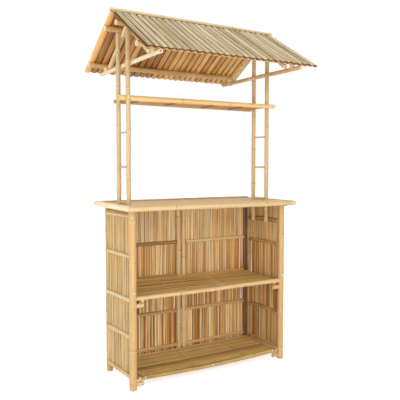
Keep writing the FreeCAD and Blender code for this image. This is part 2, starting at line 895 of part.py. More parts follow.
def rafter_place(side):
    """X of the rafters at one gable, flush with the tie rod on the uprights' side."""
    return f"{SIDES[side]} * (gable_x + (tie_rod_diameter - rafter_diameter) / 2)"


def rafter_screws():
    """Screws up through the rafters into the upper purlins, square to the rafter, and screws
    up through the tie rods into the rafters' feet and the lower purlins; all at the front."""
    screws = []
    holes = []
    origin = ("0", "0", "0")
    length = "rafter_diameter + 25"
    for side in SIDES:
        name = f"rafter_screw_{side}"
        seat = (rafter_place(side), *under_purlin("purlin_diameter / 2 + rafter_diameter"))
        blank = screw(f"{name}_blank", origin, "z", length)
        bore = hole(f"{name}_blank", origin, "z", length)
        screws.append(moved(name, blank, seat, "x", "rafter_angle"))
        holes.append(moved(f"{name}_hole", bore, seat, "x", "rafter_angle"))
    seats = {
        y: [(f"{x} * gable_x", f"-{y}", "tie_rod_level - tie_rod_diameter / 2")
            for x in SIDES.values()]
        for y in ("rafter_screw_y", "purlin_lower_y")
    }
    sets = [
        (screws, holes),
        drive("rafter_foot_screw", seats["rafter_screw_y"], "z", 40),
        drive("packer_screw", seats["purlin_lower_y"], "z", 52),
    ]
    return joined(sets)


def front_rafter(side):
    """The rafter of the front slope at one gable: mitred at the ridge, cut level on the tie
    rod."""
    name = f"rafter_front_{side}"
    x = rafter_place(side)
    start = (x, *under_purlin("(purlin_diameter + rafter_diameter) / 2", "eave_run"))
    round_pole = pole(f"{name}_round", "rafter_diameter", "2 * eave_run", start, "z")
    tilt(round_pole, "-x", "90 - rafter_angle")
    space = box(f"{name}_space", ("100", "eave_run", "300"),
                (f"{x} - 50", "-eave_run", "tie_rod_level + tie_rod_diameter / 2"))
    return common(f"{name}_blank", round_pole, space)


def rafters(holes):
    """Two rafters at each gable."""
    pieces = []
    for side in SIDES:
        front = cut(f"rafter_front_{side}", front_rafter(side), holes)
        pieces += [front, mirrored(f"rafter_rear_{side}", front)]
    node(group("rafters", pieces))


def purlins(holes):
    """Two purlins under each slope along the whole roof, but for the lower rear one, which
    ends beside the right gable. The lower front one's blank is returned, to cope the packers."""
    blanks = {}
    for slope, sign in {"front": "-", "rear": ""}.items():
        bars = []
        for run in ("upper", "lower"):
            name = f"purlin_{slope}_{run}"
            right_end = "purlin_short_end" if name == "purlin_rear_lower" else "roof_half_length"
            length = f"roof_half_length + {right_end}"
            start = ("-roof_half_length", f"{sign}purlin_{run}_y",
                     purlin_height(f"purlin_{run}_y"))
            blanks[name] = pole(f"{name}_blank", "purlin_diameter", length, start, "x")
            bores = hollow_ends(name, "purlin_diameter", length, start, "x")
            bars.append(cut(name, blanks[name], bores + holes[slope]))
        node(group(f"purlins_{slope}", bars))
    return blanks["purlin_front_lower"]


def purlin_packers(rods, purlin, holes):
    """Short upright lengths of culm between the tie rods and the lower purlins, coped to
    both."""
    pieces = []
    for side, x in SIDES.items():
        name = f"packer_front_{side}"
        start = (f"{x} * gable_x", "-purlin_lower_y", "tie_rod_level + packer_foot")
        height = f"{purlin_height('purlin_lower_y')} - tie_rod_level - packer_foot"
        blank = pole(f"{name}_blank", "packer_diameter", height, start, "z")
        front = cut(name, blank, [rods[side], purlin] + holes)
        pieces += [front, mirrored(f"packer_rear_{side}", front)]
    node(group("purlin_packers", pieces))


def tie_bolts(side):
    """Two bolts through a tie rod and the uprights beside it, with a head at each end."""
    x = SIDES[side]
    outward = "x" if x > 0 else "-x"
    inward = "-x" if x > 0 else "x"
    bolts = []
    holes = []
    length = "(upright_x + upright_diameter / 2) - (gable_x - tie_rod_diameter / 2)"
    for end, y in {"front": "-upright_front_y", "rear": "upright_rear_y"}.items():
        name = f"tie_bolt_{side}_{end}"
        inner = (f"{x} * (gable_x - tie_rod_diameter / 2)", y, "tie_rod_level")
        outer = (f"{x} * (upright_x + upright_diameter / 2)", y, "tie_rod_level")
        both = doc.addObject("Part::Fuse", name)
        both.Base = screw(f"{name}_inner", inner, outward, length)
        both.Tool = screw(f"{name}_outer", outer, inward, length)
        bolts.append(both)
        holes.append(hole(name, inner, outward, length))
    return bolts, holes


def tie_rods(holes):
    """A rod across each gable, bolted to the uprights, on which the rafters stand. The blanks
    are returned, to cope the packers."""
    length = "2 * tie_rod_half_length"
    blanks = {}
    for side, x in SIDES.items():
        start = (f"{x} * gable_x", "-tie_rod_half_length", "tie_rod_level")
        blank = pole(f"tie_rod_{side}_blank", "tie_rod_diameter", length, start, "y")
        bores = hollow_ends(f"tie_rod_{side}", "tie_rod_diameter", length, start, "y")
        node(cut(f"tie_rod_{side}", blank, bores + holes))
        blanks[side] = blank
    return blanks


def ridge_pole():
    """The pole in the valley between the two slopes' upper ends."""
    start = ("-roof_half_length", "0", "ridge_level")
    length = "2 * roof_half_length"
    blank = pole("ridge_pole_blank", "ridge_diameter", length, start, "x")
    bores = hollow_ends("ridge_pole", "ridge_diameter", length, start, "x")
    node(cut("ridge_pole", blank, bores))


# Assembly


def build_cabinet(joists, counter_holes, foot_screws, foot_holes):
    """Posts, side panels, back frames, cleats and shelves."""
    front_screws, front_holes = post_screws()
    rear_screws, rear_holes = joined([rear_post_screws(side) for side in SIDES])
    stile_screw_pieces, stile_holes = stile_screws()
    rail_screws, rail_holes = shelf_screws()

    posts = corner_posts(joists, front_holes + rear_holes + counter_holes)
    for side in SIDES:
        side_battens(side, front_holes + foot_holes)
        side_mats(side, front_holes)
    back_stiles(stile_holes + rear_holes)
    back_battens()
    back_mats()
    back_cleats(stile_holes)
    for name in ("mid", "low"):
        shelf(name, posts, rail_holes)
    node(group("cabinet_screws", front_screws + rear_screws + stile_screw_pieces + rail_screws
               + foot_screws))


def build_counter(joists, screws, holes):
    """Edge poles, deck and joists."""
    counter_poles(holes)
    counter_deck(upright_deck_holes(), holes)
    node(cut("counter_joists", group("counter_joists_blank", list(joists.values())), holes))
    node(group("counter_screws", screws))


def build_uprights(foot_holes, bolt_holes):
    """Uprights, rungs, feet and the high shelf; returns the shelf's screws."""
    rungs = upright_rungs()
    screws, holes = high_shelf_screws()
    uprights(rungs, bolt_holes + holes + foot_holes)
    node(group("upright_rungs", rungs))
    upright_feet()
    high_shelf(holes)
    return screws


def build_roof(bolts, bolt_holes, shelf_screw_pieces):
    """Tie rods, rafters, purlins, packers, ridge pole and the two layers of culms; the roof's
    screws are like those of the high shelf and share their sub-part."""
    screws, holes = rafter_screws()
    rear_screws = [mirrored(f"{piece.Name}_rear", piece) for piece in screws]
    rear_holes = [mirrored(f"{piece.Name}_rear", piece) for piece in holes]
    rods = tie_rods(bolt_holes + holes + rear_holes)
    rafters(holes)
    lower_purlin = purlins({"front": holes, "rear": rear_holes})
    purlin_packers(rods, lower_purlin, holes)
    ridge_pole()
    roof_covering()
    node(group("tie_bolts", bolts))
    node(group("upper_screws", shelf_screw_pieces + screws + rear_screws))


def check():
    """Stops if any object failed or a sub-part has no valid solid."""
    doc.recompute()
    failed = [item.Name for item in doc.Objects if {"Invalid", "Error"} & set(item.State)]
    if failed:
        raise RuntimeError(f"failed: {failed}")
    for piece in nodes:
        shape = piece.Shape
        if shape.isNull() or not shape.isValid() or not shape.Solids:
            raise RuntimeError(f"bad shape: {piece.Label}")


def export():
    """Writes each sub-part to its own file."""
    os.makedirs("parts", exist_ok=True)
    for piece in nodes:
        piece.Shape.exportStep(f"parts/{piece.Label}.step")
    print(len(nodes), "sub-parts")


def main():
    fill_sheet()
    joists = counter_joists()
    screws, screw_holes = counter_screws()
    foot_screws, foot_holes = upright_foot_screws()
    bolts, bolt_holes = joined([tie_bolts(side) for side in SIDES])
    build_cabinet(joists, screw_holes, foot_screws, foot_holes)
    build_counter(joists, screws, screw_holes)
    high_screws = build_uprights(foot_holes, bolt_holes)
    build_roof(bolts, bolt_holes, high_screws)
    check()
    export()


main()
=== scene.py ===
import math

import bpy
import numpy as np
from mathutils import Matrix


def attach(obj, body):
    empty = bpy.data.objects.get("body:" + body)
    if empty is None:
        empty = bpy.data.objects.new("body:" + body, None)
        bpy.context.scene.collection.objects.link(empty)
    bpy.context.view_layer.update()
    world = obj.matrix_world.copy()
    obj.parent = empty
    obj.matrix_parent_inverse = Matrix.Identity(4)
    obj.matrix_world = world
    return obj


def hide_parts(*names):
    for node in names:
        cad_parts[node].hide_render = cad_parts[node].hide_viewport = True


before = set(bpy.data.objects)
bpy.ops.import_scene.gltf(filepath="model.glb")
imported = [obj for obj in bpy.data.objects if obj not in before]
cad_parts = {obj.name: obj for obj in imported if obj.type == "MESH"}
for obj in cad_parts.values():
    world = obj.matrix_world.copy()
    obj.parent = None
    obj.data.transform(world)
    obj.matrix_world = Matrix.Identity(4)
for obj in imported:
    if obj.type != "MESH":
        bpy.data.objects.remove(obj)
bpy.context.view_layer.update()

bl_info = {
    "name": "Bamboo bar hut",
    "version": (1, 0, 0),
    "blender": (4, 5, 0),
    "location": "3D View > Sidebar > Bar hut",
    "description": "Builds the culms, slats and finishes of a bamboo bar hut over its CAD frame",
    "category": "Add Mesh",
}


rng = np.random.default_rng(11)

LEFT, RIGHT = (-1, 0, 0), (1, 0, 0)
FRONT, BACK = (0, -1, 0), (0, 1, 0)
UP, DOWN = (0, 0, 1), (0, 0, -1)


# Sizes and colours


def rgb(code):
    """The linear colour of a screen colour written in hexadecimal."""
    levels = np.array([int(code[i:i + 2], 16) for i in (0, 2, 4)]) / 255
    linear = np.where(levels <= 0.04045, levels / 12.92, ((levels + 0.055) / 1.055) ** 2.4)
    return tuple(float(level) for level in linear)


def length(name, description, default):
    return bpy.props.FloatProperty(
        name=name, description=description, default=default, min=0.0, unit="LENGTH", precision=4
    )


def colour(name, description, code):
    return bpy.props.FloatVectorProperty(
        name=name, description=description, default=rgb(code), subtype="COLOR", min=0.0, max=1.0
    )


class HutSizes(bpy.types.PropertyGroup):
    """Sizes that the CAD frame leaves open."""

    culm_wall: length("Culm wall", "Thickness of a pole's wall at its open ends", 0.0045)
    bore_depth: length("Bore depth", "Distance from an open end to the first partition", 0.03)
    split_wall: length("Split wall", "Wall thickness of the split battens", 0.004)
    internode: length("Internode", "Mean distance between the nodes of a culm", 0.235)
    slat_width: length("Slat width", "Mean width of a slat in the panels", 0.0095)
    slat_gap: length("Slat gap", "Mean gap between two slats", 0.0006)
    deck_strip: length("Deck strip", "Mean width of a strip in the decks", 0.011)
    apex_rise: length("Apex rise", "How much higher the apex is at the left gable", 0.008)
    eave_fan: length("Eave fan", "How far the front eave reaches out at the right", 0.011)
    wander: length("Wander", "How far a pole strays from a straight line at a node", 0.0006)


class HutColours(bpy.types.PropertyGroup):
    """Colours of the hut. The loop after the class adds three tones of each family."""

    pith_cream: colour("Pith, cream", "Lightest inside of a slat", "F8E2B6")
    pith_tan: colour("Pith, tan", "Usual inside of a slat", "E6B874")
    pith_rust: colour("Pith, rust", "Warm inside of a slat", "CE904A")
    pith_brown: colour("Pith, brown", "Darkest inside of a slat", "84562C")
    golden: colour("Golden tint", "Multiplies the colour of the warmest pieces", "FFEFD8")
    olive: colour("Olive tint", "Multiplies the colour of the greenest pieces", "F4F0D2")
    groove: colour("Groove", "Dirt and shade between split pieces", "3E2A14")
    ring: colour("Node ring", "Dark line round a node", "7A5432")
    # the bloom colour also paints highlights on the cut ends of the roof poles
    bloom: colour("Node bloom", "Pale waxy band under a node", "FFF4DC")
    speck: colour("Speck", "Small dark blemishes", "6A4424")
    steel: colour("Steel", "Screws and bolts", "EEEEEE")
    cleat: colour("Cleat", "Sawn cleats on the back", "D0A468")
    floor: colour("Floor", "Studio floor", "F4F4F4")


TONES = ("light", "middle", "dark")
FAMILIES = {
    "pole": ("the poles", "EADAB4", "D2B07C", "B08656"),
    "upright": ("the uprights", "E8DCBC", "CEB286", "A48658"),
    # the roof poles' lightest tone is near white, for painted highlights on lit tops
    "frame": ("the roof's poles", "FFF0D0", "D6B67E", "A07A46"),
    "slat": ("the slats", "F2D496", "E2B87C", "A88450"),
    "shelf": ("the shelves' strips", "E8CA8C", "CAA868", "846432"),
    "counter": ("the counter's strips", "F2DCB4", "E6C896", "C8A268"),
    "roof": ("the weathered roof", "EFE2C6", "C8B48A", "8E7A54"),
    "ceiling": ("the culms under the roof", "F4C67E", "C88E4A", "744A20"),
}
for family, (owner, *codes) in FAMILIES.items():
    for tone, code in zip(TONES, codes):
        HutColours.__annotations__[f"{family}_{tone}"] = colour(
            f"{family.title()}, {tone}", f"{tone.title()} skin of {owner}", code
        )


def sizes():
    return bpy.context.scene.hut_sizes


def colours():
    return bpy.context.scene.hut_colours


# The CAD frame


def solids(node):
    """Lowest and highest corners of a node's solids, sorted along x, then y, then z. Corners of
    triangles at one point, to 0.01 mm, get one number, and the lowest number spreads through
    each solid."""
    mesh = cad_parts[node].data
    mesh.calc_loop_triangles()
    corners = np.empty(len(mesh.vertices) * 3)
    mesh.vertices.foreach_get("co", corners)
    corners = corners.reshape(-1, 3)
    triangles = np.empty(len(mesh.loop_triangles) * 3, int)
    mesh.loop_triangles.foreach_get("vertices", triangles)
    rounded = np.round(corners * 1e5).astype(int)
    merged = np.unique(rounded, axis=0, return_inverse=True)[1].ravel()
    triangles = merged[triangles].reshape(-1, 3)
    labels = np.arange(merged.max() + 1)
    settled = False
    while not settled:
        lowest = labels[triangles].min(axis=1)
        spread = labels.copy()
        np.minimum.at(spread, triangles.ravel(), np.repeat(lowest, 3))
        spread = spread[spread]
        settled = bool((spread == labels).all())
        labels = spread
    of_corner = labels[merged]
    boxes = [
        (corners[of_corner == label].min(axis=0), corners[of_corner == label].max(axis=0))
        for label in np.unique(labels)
    ]
    return sorted(boxes, key=lambda box: tuple(np.round(box[0] + box[1], 4)))


def ends_of(box):
    """Start and end of a box's centre line, along its longest side, and half its width."""
    low, high = box
    axis = int(np.argmax(high - low))
    start = (low + high) / 2
    end = start.copy()
    start[axis], end[axis] = low[axis], high[axis]
    others = [i for i in range(3) if i != axis]
    return start, end, (high - low)[others].max() / 2


# Shapes

NODE_CLEAR = 0.012  # least distance from a node to an end
BAND_DROP = 0.007  # from a node down to the middle of its pale band
FAR = 0.03  # distances to a node are measured up to here
FAINT = 0.0014  # a faint node counts as up to this much farther away
UNSPLIT = 0.05  # stands for the distance to a long edge where there is none
CULM_RIM, SPLIT_RIM = 0.0012, 0.0008  # rounding of the ends
RIM_SHARE, WALL_SHARE = 0.12, 0.42  # the most of the radius that a rim and a wall take
SLIMMING = 0.012  # share by which a culm narrows between nodes, and by which it is oval
MITRE_REACH = 0.07  # how far from its end a mitred pole is slanted
FULL_SWELLING = 0.06  # the largest share by which swelling() widens a whole culm, about
SPLIT_SWELLING, STRIP_SWELLING = 0.05, 0.03  # the same for split culms and for strips
CULM_STEP, SPLIT_STEP, DECK_STEP = 0.05, 0.06, 0.3  # between rings of points away from nodes
CULM_NODE = np.array([-20, -12, -7, -4, -2.2, -1, 0, 1, 2.5, 6, 11, 20]) / 1000
BAR_NODE = np.array([-14, -7, -3, 0, 4, 12]) / 1000
SLAT_NODE = np.array([-7, 0, 6]) / 1000


def unit(vector):
    vector = np.asarray(vector, float)
    return vector / np.linalg.norm(vector)


class Pile:
    """Closed surfaces, each a grid of points, that become one mesh. The grain map holds metres
    round and along a piece; ring holds the distance to the nearest node, the distance to the
    pale band under it, and 1 where the culm is cut open; tone holds numbers for the piece;
    edge is the distance to the nearest long edge of a split piece."""

    def __init__(self):
        self.parts = []
        self.count = 0

    def add(self, points, flat, across, along, rings, tone, edge):
        """Adds k rings of m points. Side faces join neighbours in both directions, and each
        end is a ladder of faces between opposite points of its ring."""
        k, m = points.shape[:2]
        offset = rng.uniform(0, 3, 2)
        i, j = np.meshgrid(np.arange(k - 1), np.arange(m), indexing="ij")
        i = i[..., None] + [0, 0, 1, 1]
        j = j[..., None] + [0, 1, 1, 0]
        sides = i * m + j % m
        side_grain = np.stack([across[j], along[i]], axis=-1)
        step = np.arange(m // 2 - 1)
        first = np.stack([step, m - 1 - step, m - 2 - step, step + 1], axis=-1)
        last = np.stack([step, step + 1, m - 2 - step, m - 1 - step], axis=-1)
        faces = np.concatenate([sides.reshape(-1, 4), first, last + (k - 1) * m])
        ends = flat[np.concatenate([first, last])]
        grain = np.concatenate([side_grain.reshape(-1, 2), ends.reshape(-1, 2)])
        self.parts.append((
            points.reshape(-1, 3), faces + self.count, grain + offset, rings.reshape(-1, 3),
            np.tile(tone, (k * m, 1)), np.tile(edge, k),
        ))
        self.count += k * m

    def piece(self, name, finish, slot, *nodes):
        """Makes the mesh object in a kind of bamboo, to stand for its CAD nodes."""
        points, faces, grain, *values = (np.concatenate(part) for part in zip(*self.parts))
        mesh = bpy.data.meshes.new(name)
        mesh.vertices.add(len(points))
        mesh.vertices.foreach_set("co", points.ravel())
        mesh.loops.add(faces.size)
        mesh.loops.foreach_set("vertex_index", faces.ravel())
        mesh.polygons.add(len(faces))
        mesh.polygons.foreach_set("loop_start", np.arange(0, faces.size, 4))
        mesh.update(calc_edges=True)
        mesh.uv_layers.new(name="grain").data.foreach_set("uv", grain.ravel())
        for label, numbers in zip(("ring", "tone", "edge"), values):
            kind, key = ("FLOAT", "value") if label == "edge" else ("FLOAT_VECTOR", "vector")
            mesh.attributes.new(label, kind, "POINT").data.foreach_set(key, numbers.ravel())
        mesh.validate()
        mesh.set_sharp_from_angle(angle=math.radians(40))
        mesh.materials.append(bamboo(finish))
        made = bpy.data.objects.new(name, mesh)
        bpy.context.scene.collection.objects.link(made)
        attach(made, "root")
        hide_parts(*nodes)


def node_places(reach, spacing):
    """Places of the nodes along a piece, about one spacing apart, from a random start."""
    count = int(reach / spacing) + 2
    gaps = spacing * rng.uniform(0.88, 1.12, count)
    places = np.cumsum(gaps) - spacing * rng.uniform(0.1, 1.0)
    return places[(places > NODE_CLEAR) & (places < reach - NODE_CLEAR)]


def stations(reach, places, offsets, step, edge):
    """Distances along a piece at which it has a ring of points: even steps, and several close
    together at each node."""
    even = np.linspace(edge, reach - edge, max(2, int(round(reach / step)) + 1))
    near = (np.asarray(places)[:, None] + offsets).ravel()
    near = near[(near > edge) & (near < reach - edge)]
    apart = np.abs(even[:, None] - near[None, :]).min(axis=1) > step / 5 if near.size else even > 0
    apart[[0, -1]] = True
    return np.unique(np.round(np.concatenate([even[apart], near]), 5))


def node_distances(along, places):
    """Distance to the nearest node, and to the middle of the pale band under it."""
    if not len(places):
        return np.full(len(along), FAR), np.full(len(along), FAR)
    gap = along[:, None] - np.asarray(places)[None, :]
    away = rng.uniform(0, FAINT, (2, len(places)))
    return (
        np.minimum((np.abs(gap) + away[0]).min(axis=1), FAR),
        np.minimum((np.abs(gap + BAND_DROP) + 3 * away[1]).min(axis=1), FAR),
    )


def swelling(along, places):
    """Growth of the radius near nodes, as a share: a narrow scar, a groove under it and a
    wider swelling above it, each a bell curve of the distance from the node."""
    if not len(places):
        return np.zeros(len(along))
    gap = along[:, None] - np.asarray(places)[None, :]
    scar = 0.020 * np.exp(-(gap / 0.0020) ** 2)
    groove = -0.010 * np.exp(-((gap + 0.004) / 0.0030) ** 2)
    above = 0.040 * np.exp(-((gap - 0.007) / 0.010) ** 2)
    return (scar + groove + above).sum(axis=1)


def axes(start, end, face):
    """Length and three directions of a piece: towards its face, sideways, and along it."""
    along = np.asarray(end, float) - np.asarray(start, float)
    reach = np.linalg.norm(along)
    along = along / reach
    face = np.asarray(face, float)
    front = unit(face - along * face.dot(along))
    return reach, front, np.cross(along, front), along


def placed(start, directions, towards, sideways, lengthwise):
    """Points at distances from the start in the three directions that axes gives."""
    front, side, along = directions
    return (np.asarray(start) + towards[..., None] * front + sideways[..., None] * side
            + lengthwise[..., None] * along)


def tone_of(shade, spread):
    """Three numbers of a piece: its shade from light to dark, a hue and a free one."""
    return np.array([np.clip(shade + rng.uniform(-spread, spread), 0, 1), *rng.random(2)])


def culm(pile, start, end, radius, face=UP, places=None, bore=True, mitre=None, shade=0.5,
         spread=0.12, bow=(0.0, 0.0), sides=20):
    """A pole. A point at distance s and angle t lies on the axis at s, plus the radius at s
    times the cosine of t towards the face and the sine of t sideways. The radius goes evenly
    from one end's to the other's, with swellings at the nodes, a slight waist between them
    and a slight oval. The axis strays a little at each node and bows as a half sine. With
    open ends, the rings turn over the rim and go down inside to a partition. A mitre names
    the direction of the inner side, on which both ends are cut back at 45 degrees."""
    reach, front, side, along = axes(start, end, face)
    radii = np.broadcast_to(np.asarray(radius, float), 2)
    if places is None:
        places = node_places(reach, sizes().internode)
    places = np.asarray(places, float)
    edge = min(CULM_RIM, radii.min() * RIM_SHARE)
    outer = stations(reach, places, CULM_NODE, CULM_STEP, edge)
    wall = min(sizes().culm_wall, radii.min() * WALL_SHARE)
    depth = sizes().bore_depth

    lip, inset = ([depth, edge, 0, 0], [wall, wall, wall - edge, edge]) if bore else ([0], [edge])
    s = np.concatenate([lip, outer, reach - np.array(lip)[::-1]])
    inset = np.concatenate([inset, 0 * outer, inset[::-1]])
    cut = np.concatenate([np.ones(len(lip)), 0 * outer, np.ones(len(lip))])

    taper = radii[0] + (radii[1] - radii[0]) * s / reach
    knots = np.concatenate([[0], places, [reach]])
    phase = np.interp(s, knots, np.arange(len(knots)))
    waist = 1 - SLIMMING * np.sin(np.pi * (phase % 1))
    r = taper * waist * (1 + swelling(s, places) * (1 - cut)) - inset
    turn = np.linspace(0, 2 * np.pi, sides, endpoint=False)
    oval = 1 + SLIMMING * np.cos(2 * turn + rng.uniform(0, 2 * np.pi))
    ring_x = r[:, None] * (np.cos(turn) * oval)[None, :]
    ring_y = r[:, None] * (np.sin(turn) * oval)[None, :]

    stray = rng.normal(0, sizes().wander, (2, len(knots)))
    stray[:, [0, -1]] = 0
    arch = np.sin(np.pi * s / reach)
    ring_x = ring_x + (np.interp(s, knots, stray[0]) + bow[0] * arch)[:, None]
    ring_y = ring_y + (np.interp(s, knots, stray[1]) + bow[1] * arch)[:, None]

    lengthwise = np.repeat(s[:, None], sides, axis=1)
    if mitre is not None:
        inner = unit(mitre)
        inward = ring_x * front.dot(inner) + ring_y * side.dot(inner) + radii.max()
        for sign, distance in ((1, s), (-1, reach - s)):
            near_end = np.clip(1 - distance / MITRE_REACH, 0, 1)
            lengthwise = lengthwise + sign * inward * near_end[:, None]

    points = placed(start, (front, side, along), ring_x, ring_y, lengthwise)
    mean = radii.mean()
    flat = mean * np.stack([np.cos(turn), np.sin(turn)], axis=-1)
    across = np.linspace(0, 2 * np.pi * mean, sides + 1)
    near, band = node_distances(s, places)
    rings = np.stack([near, band, cut], axis=-1)[:, None, :].repeat(sides, axis=1)
    pile.add(points, flat, across, s, rings, tone_of(shade, spread), np.full(sides, UNSPLIT))


def bar(pile, start, end, face, section, swell, places, offsets, step, tone, sag=0.0,
        skew=(0.0, 0.0), bend=0.0):
    """A piece split from a culm. A point at distance s lies on the line at s, plus its place in
    the outline, plus the swelling at s outwards where the outline is skin. The line sags
    towards the face and bends sideways as half sines, and may start and end a little sideways.
    The ends are slightly rounded. The section is the outline, 1 where it is skin, and the
    distance of each point to the piece's long edges."""
    outline, skin, edges = section
    reach, front, side, along = axes(start, end, face)
    inner = stations(reach, places, offsets, step, SPLIT_RIM)
    s = np.concatenate([[0], inner, [reach]])
    half = len(outline) // 2
    middle = (outline[:half].mean(axis=0) + outline[half:].mean(axis=0)) / 2
    radial = outline - middle
    rounded = 1 - SPLIT_RIM / np.linalg.norm(radial, axis=1).max()
    swollen = 1 + swelling(s, places) * swell / FULL_SWELLING
    grow = np.where((s > 0) & (s < reach), swollen, rounded)
    growth = np.where(skin[None, :] > 0, grow[:, None], np.minimum(grow, 1)[:, None])
    ring = middle + radial[None, :, :] * growth[..., None]
    arch = np.sin(np.pi * s / reach)
    shift = skew[0] + (skew[1] - skew[0]) * s / reach + bend * arch
    points = placed(start, (front, side, along), ring[..., 0] + (sag * arch)[:, None],
                    ring[..., 1] + shift[:, None], s[:, None])
    closed = np.concatenate([outline, outline[:1]])
    across = np.concatenate([[0], np.cumsum(np.linalg.norm(np.diff(closed, axis=0), axis=1))])
    near, band = node_distances(s, places)
    open_end = ((s == 0) | (s == reach)).astype(float)
    cut = np.maximum(open_end[:, None], 1 - skin[None, :])
    rings = np.stack([near[:, None] + 0 * cut, band[:, None] + 0 * cut, cut], axis=-1)
    pile.add(points, outline, across, s, rings, tone, edges)


def split(pile, start, end, face, radius, wall, half_angle=90.0, shade=0.5, spread=0.15,
          arc_points=9, bend=0.0, grooved=True):
    """Part of a culm, split lengthwise. The outline runs along the outer arc, from minus to
    plus the half angle about the direction of the face, and back along the inner arc. Without
    grooves the long edges get no painted shade and the hollow side takes the skin's colours,
    as on the verge culms of the roof."""
    turn = np.radians(np.linspace(-half_angle, half_angle, arc_points))
    outer = radius * np.stack([np.cos(turn), np.sin(turn)], axis=-1)
    inner = outer[::-1] * (radius - wall) / radius
    outline = np.concatenate([outer, inner])
    skin = np.repeat([1.0, 0.0 if grooved else 1.0], arc_points)
    edges = radius * (np.radians(half_angle) - np.abs(turn)) + (0 if grooved else UNSPLIT)
    reach = np.linalg.norm(np.asarray(end) - np.asarray(start))
    places = node_places(reach, sizes().internode)
    bar(pile, start, end, face, (outline, skin, np.concatenate([edges, edges])),
        SPLIT_SWELLING, places, BAR_NODE, SPLIT_STEP, tone_of(shade, spread), bend=bend)


def strip_section(width, thickness):
    """Section of a strip for bar: a flat underside and a slightly crowned skin."""
    crown = 0.16 * thickness
    half = width / 2
    outline = np.array([
        [0.0, -half / 3], [0.0, -half * 0.96], [thickness - crown, -half],
        [thickness, -half / 2], [thickness, half / 2], [thickness - crown, half],
        [0.0, half * 0.96], [0.0, half / 3],
    ])
    skin = np.array([0.0, 0.0, 1.0, 1.0, 1.0, 1.0, 0.0, 0.0])
    return outline, skin, half - np.abs(outline[:, 1])


def strips(pile, low, high, run, face, width, shades, gap, culm_strips=(1, 1), uneven=0.0006,
           ragged=0.0, lines=None, lift=((0.0, 0.0), (0.0, 0.0)), sag=0.0):
    """Fills a box with strips along one axis, with their skin towards the face. Their widths
    differ and add up to the box's. Strips from one culm follow each other, with their nodes
    nearly in line and their shades close; lines gives the nodes' places at the lower and the
    higher side. Lift moves the strips towards the face: at the start and end of the lower
    side, and of the higher side. Sag bends the strips of the lower side away from the face."""
    low, high = np.asarray(low, float), np.asarray(high, float)
    face = np.asarray(face, float)
    normal = int(np.argmax(np.abs(face)))
    beside = ({0, 1, 2} - {run, normal}).pop()
    reach, total, thickness = (high - low)[[run, beside, normal]]
    towards = 1 if face[normal] > 0 else -1
    back = low[normal] if towards > 0 else high[normal]
    widths = rng.uniform(0.6, 1.4, max(1, int(round(total / width))))
    widths = widths * total / widths.sum()
    centres = low[beside] + np.cumsum(widths) - widths / 2
    node_shift, clear, thinnest = 0.004, 0.01, 0.002
    step = reach if sag == 0 else 0.1
    left = 0
    for centre, wide in zip(centres, widths):
        share = (centre - low[beside]) / total
        if left == 0:
            left = int(rng.integers(culm_strips[0], culm_strips[1] + 1))
            places = node_places(reach, sizes().internode * rng.uniform(0.9, 1.2))
            shade = rng.choice(shades)
        left -= 1
        if lines is not None:
            places = np.array([first + (last - first) * share for first, last in lines])
        own = places + rng.normal(0, node_shift, len(places))
        own = own[(own > clear) & (own < reach - clear)]
        start, end = np.zeros(3), np.zeros(3)
        raised = [lift[0][i] + (lift[1][i] - lift[0][i]) * share for i in (0, 1)]
        start[normal] = back + towards * raised[0]
        end[normal] = back + towards * raised[1]
        start[beside] = end[beside] = centre
        start[run] = low[run] + rng.uniform(0, ragged)
        end[run] = high[run] - rng.uniform(0, ragged)
        wide = max(wide - gap * rng.uniform(0.3, 2.4), thinnest)
        section = strip_section(wide, thickness * rng.uniform(0.82, 1.0))
        bar(pile, start, end, face, section, STRIP_SWELLING, own, SLAT_NODE, step,
            tone_of(shade, 0.1), -sag * (1 - share), tuple(rng.normal(0, uneven, 2)))


# Finishes


class Link:
    """A socket of a shader node. Arithmetic on one that carries a number adds Math nodes."""

    def __init__(self, finish, socket):
        self.finish = finish
        self.socket = socket

    def joined(self, operation, first, second):
        return self.finish.node("Math", {"operation": operation}, {0: first, 1: second})

    def __add__(self, other):
        return self.joined("ADD", self, other)

    def __radd__(self, other):
        return self.joined("ADD", other, self)

    def __sub__(self, other):
        return self.joined("SUBTRACT", self, other)

    def __rsub__(self, other):
        return self.joined("SUBTRACT", other, self)

    def __mul__(self, other):
        return self.joined("MULTIPLY", self, other)

    def __rmul__(self, other):
        return self.joined("MULTIPLY", other, self)


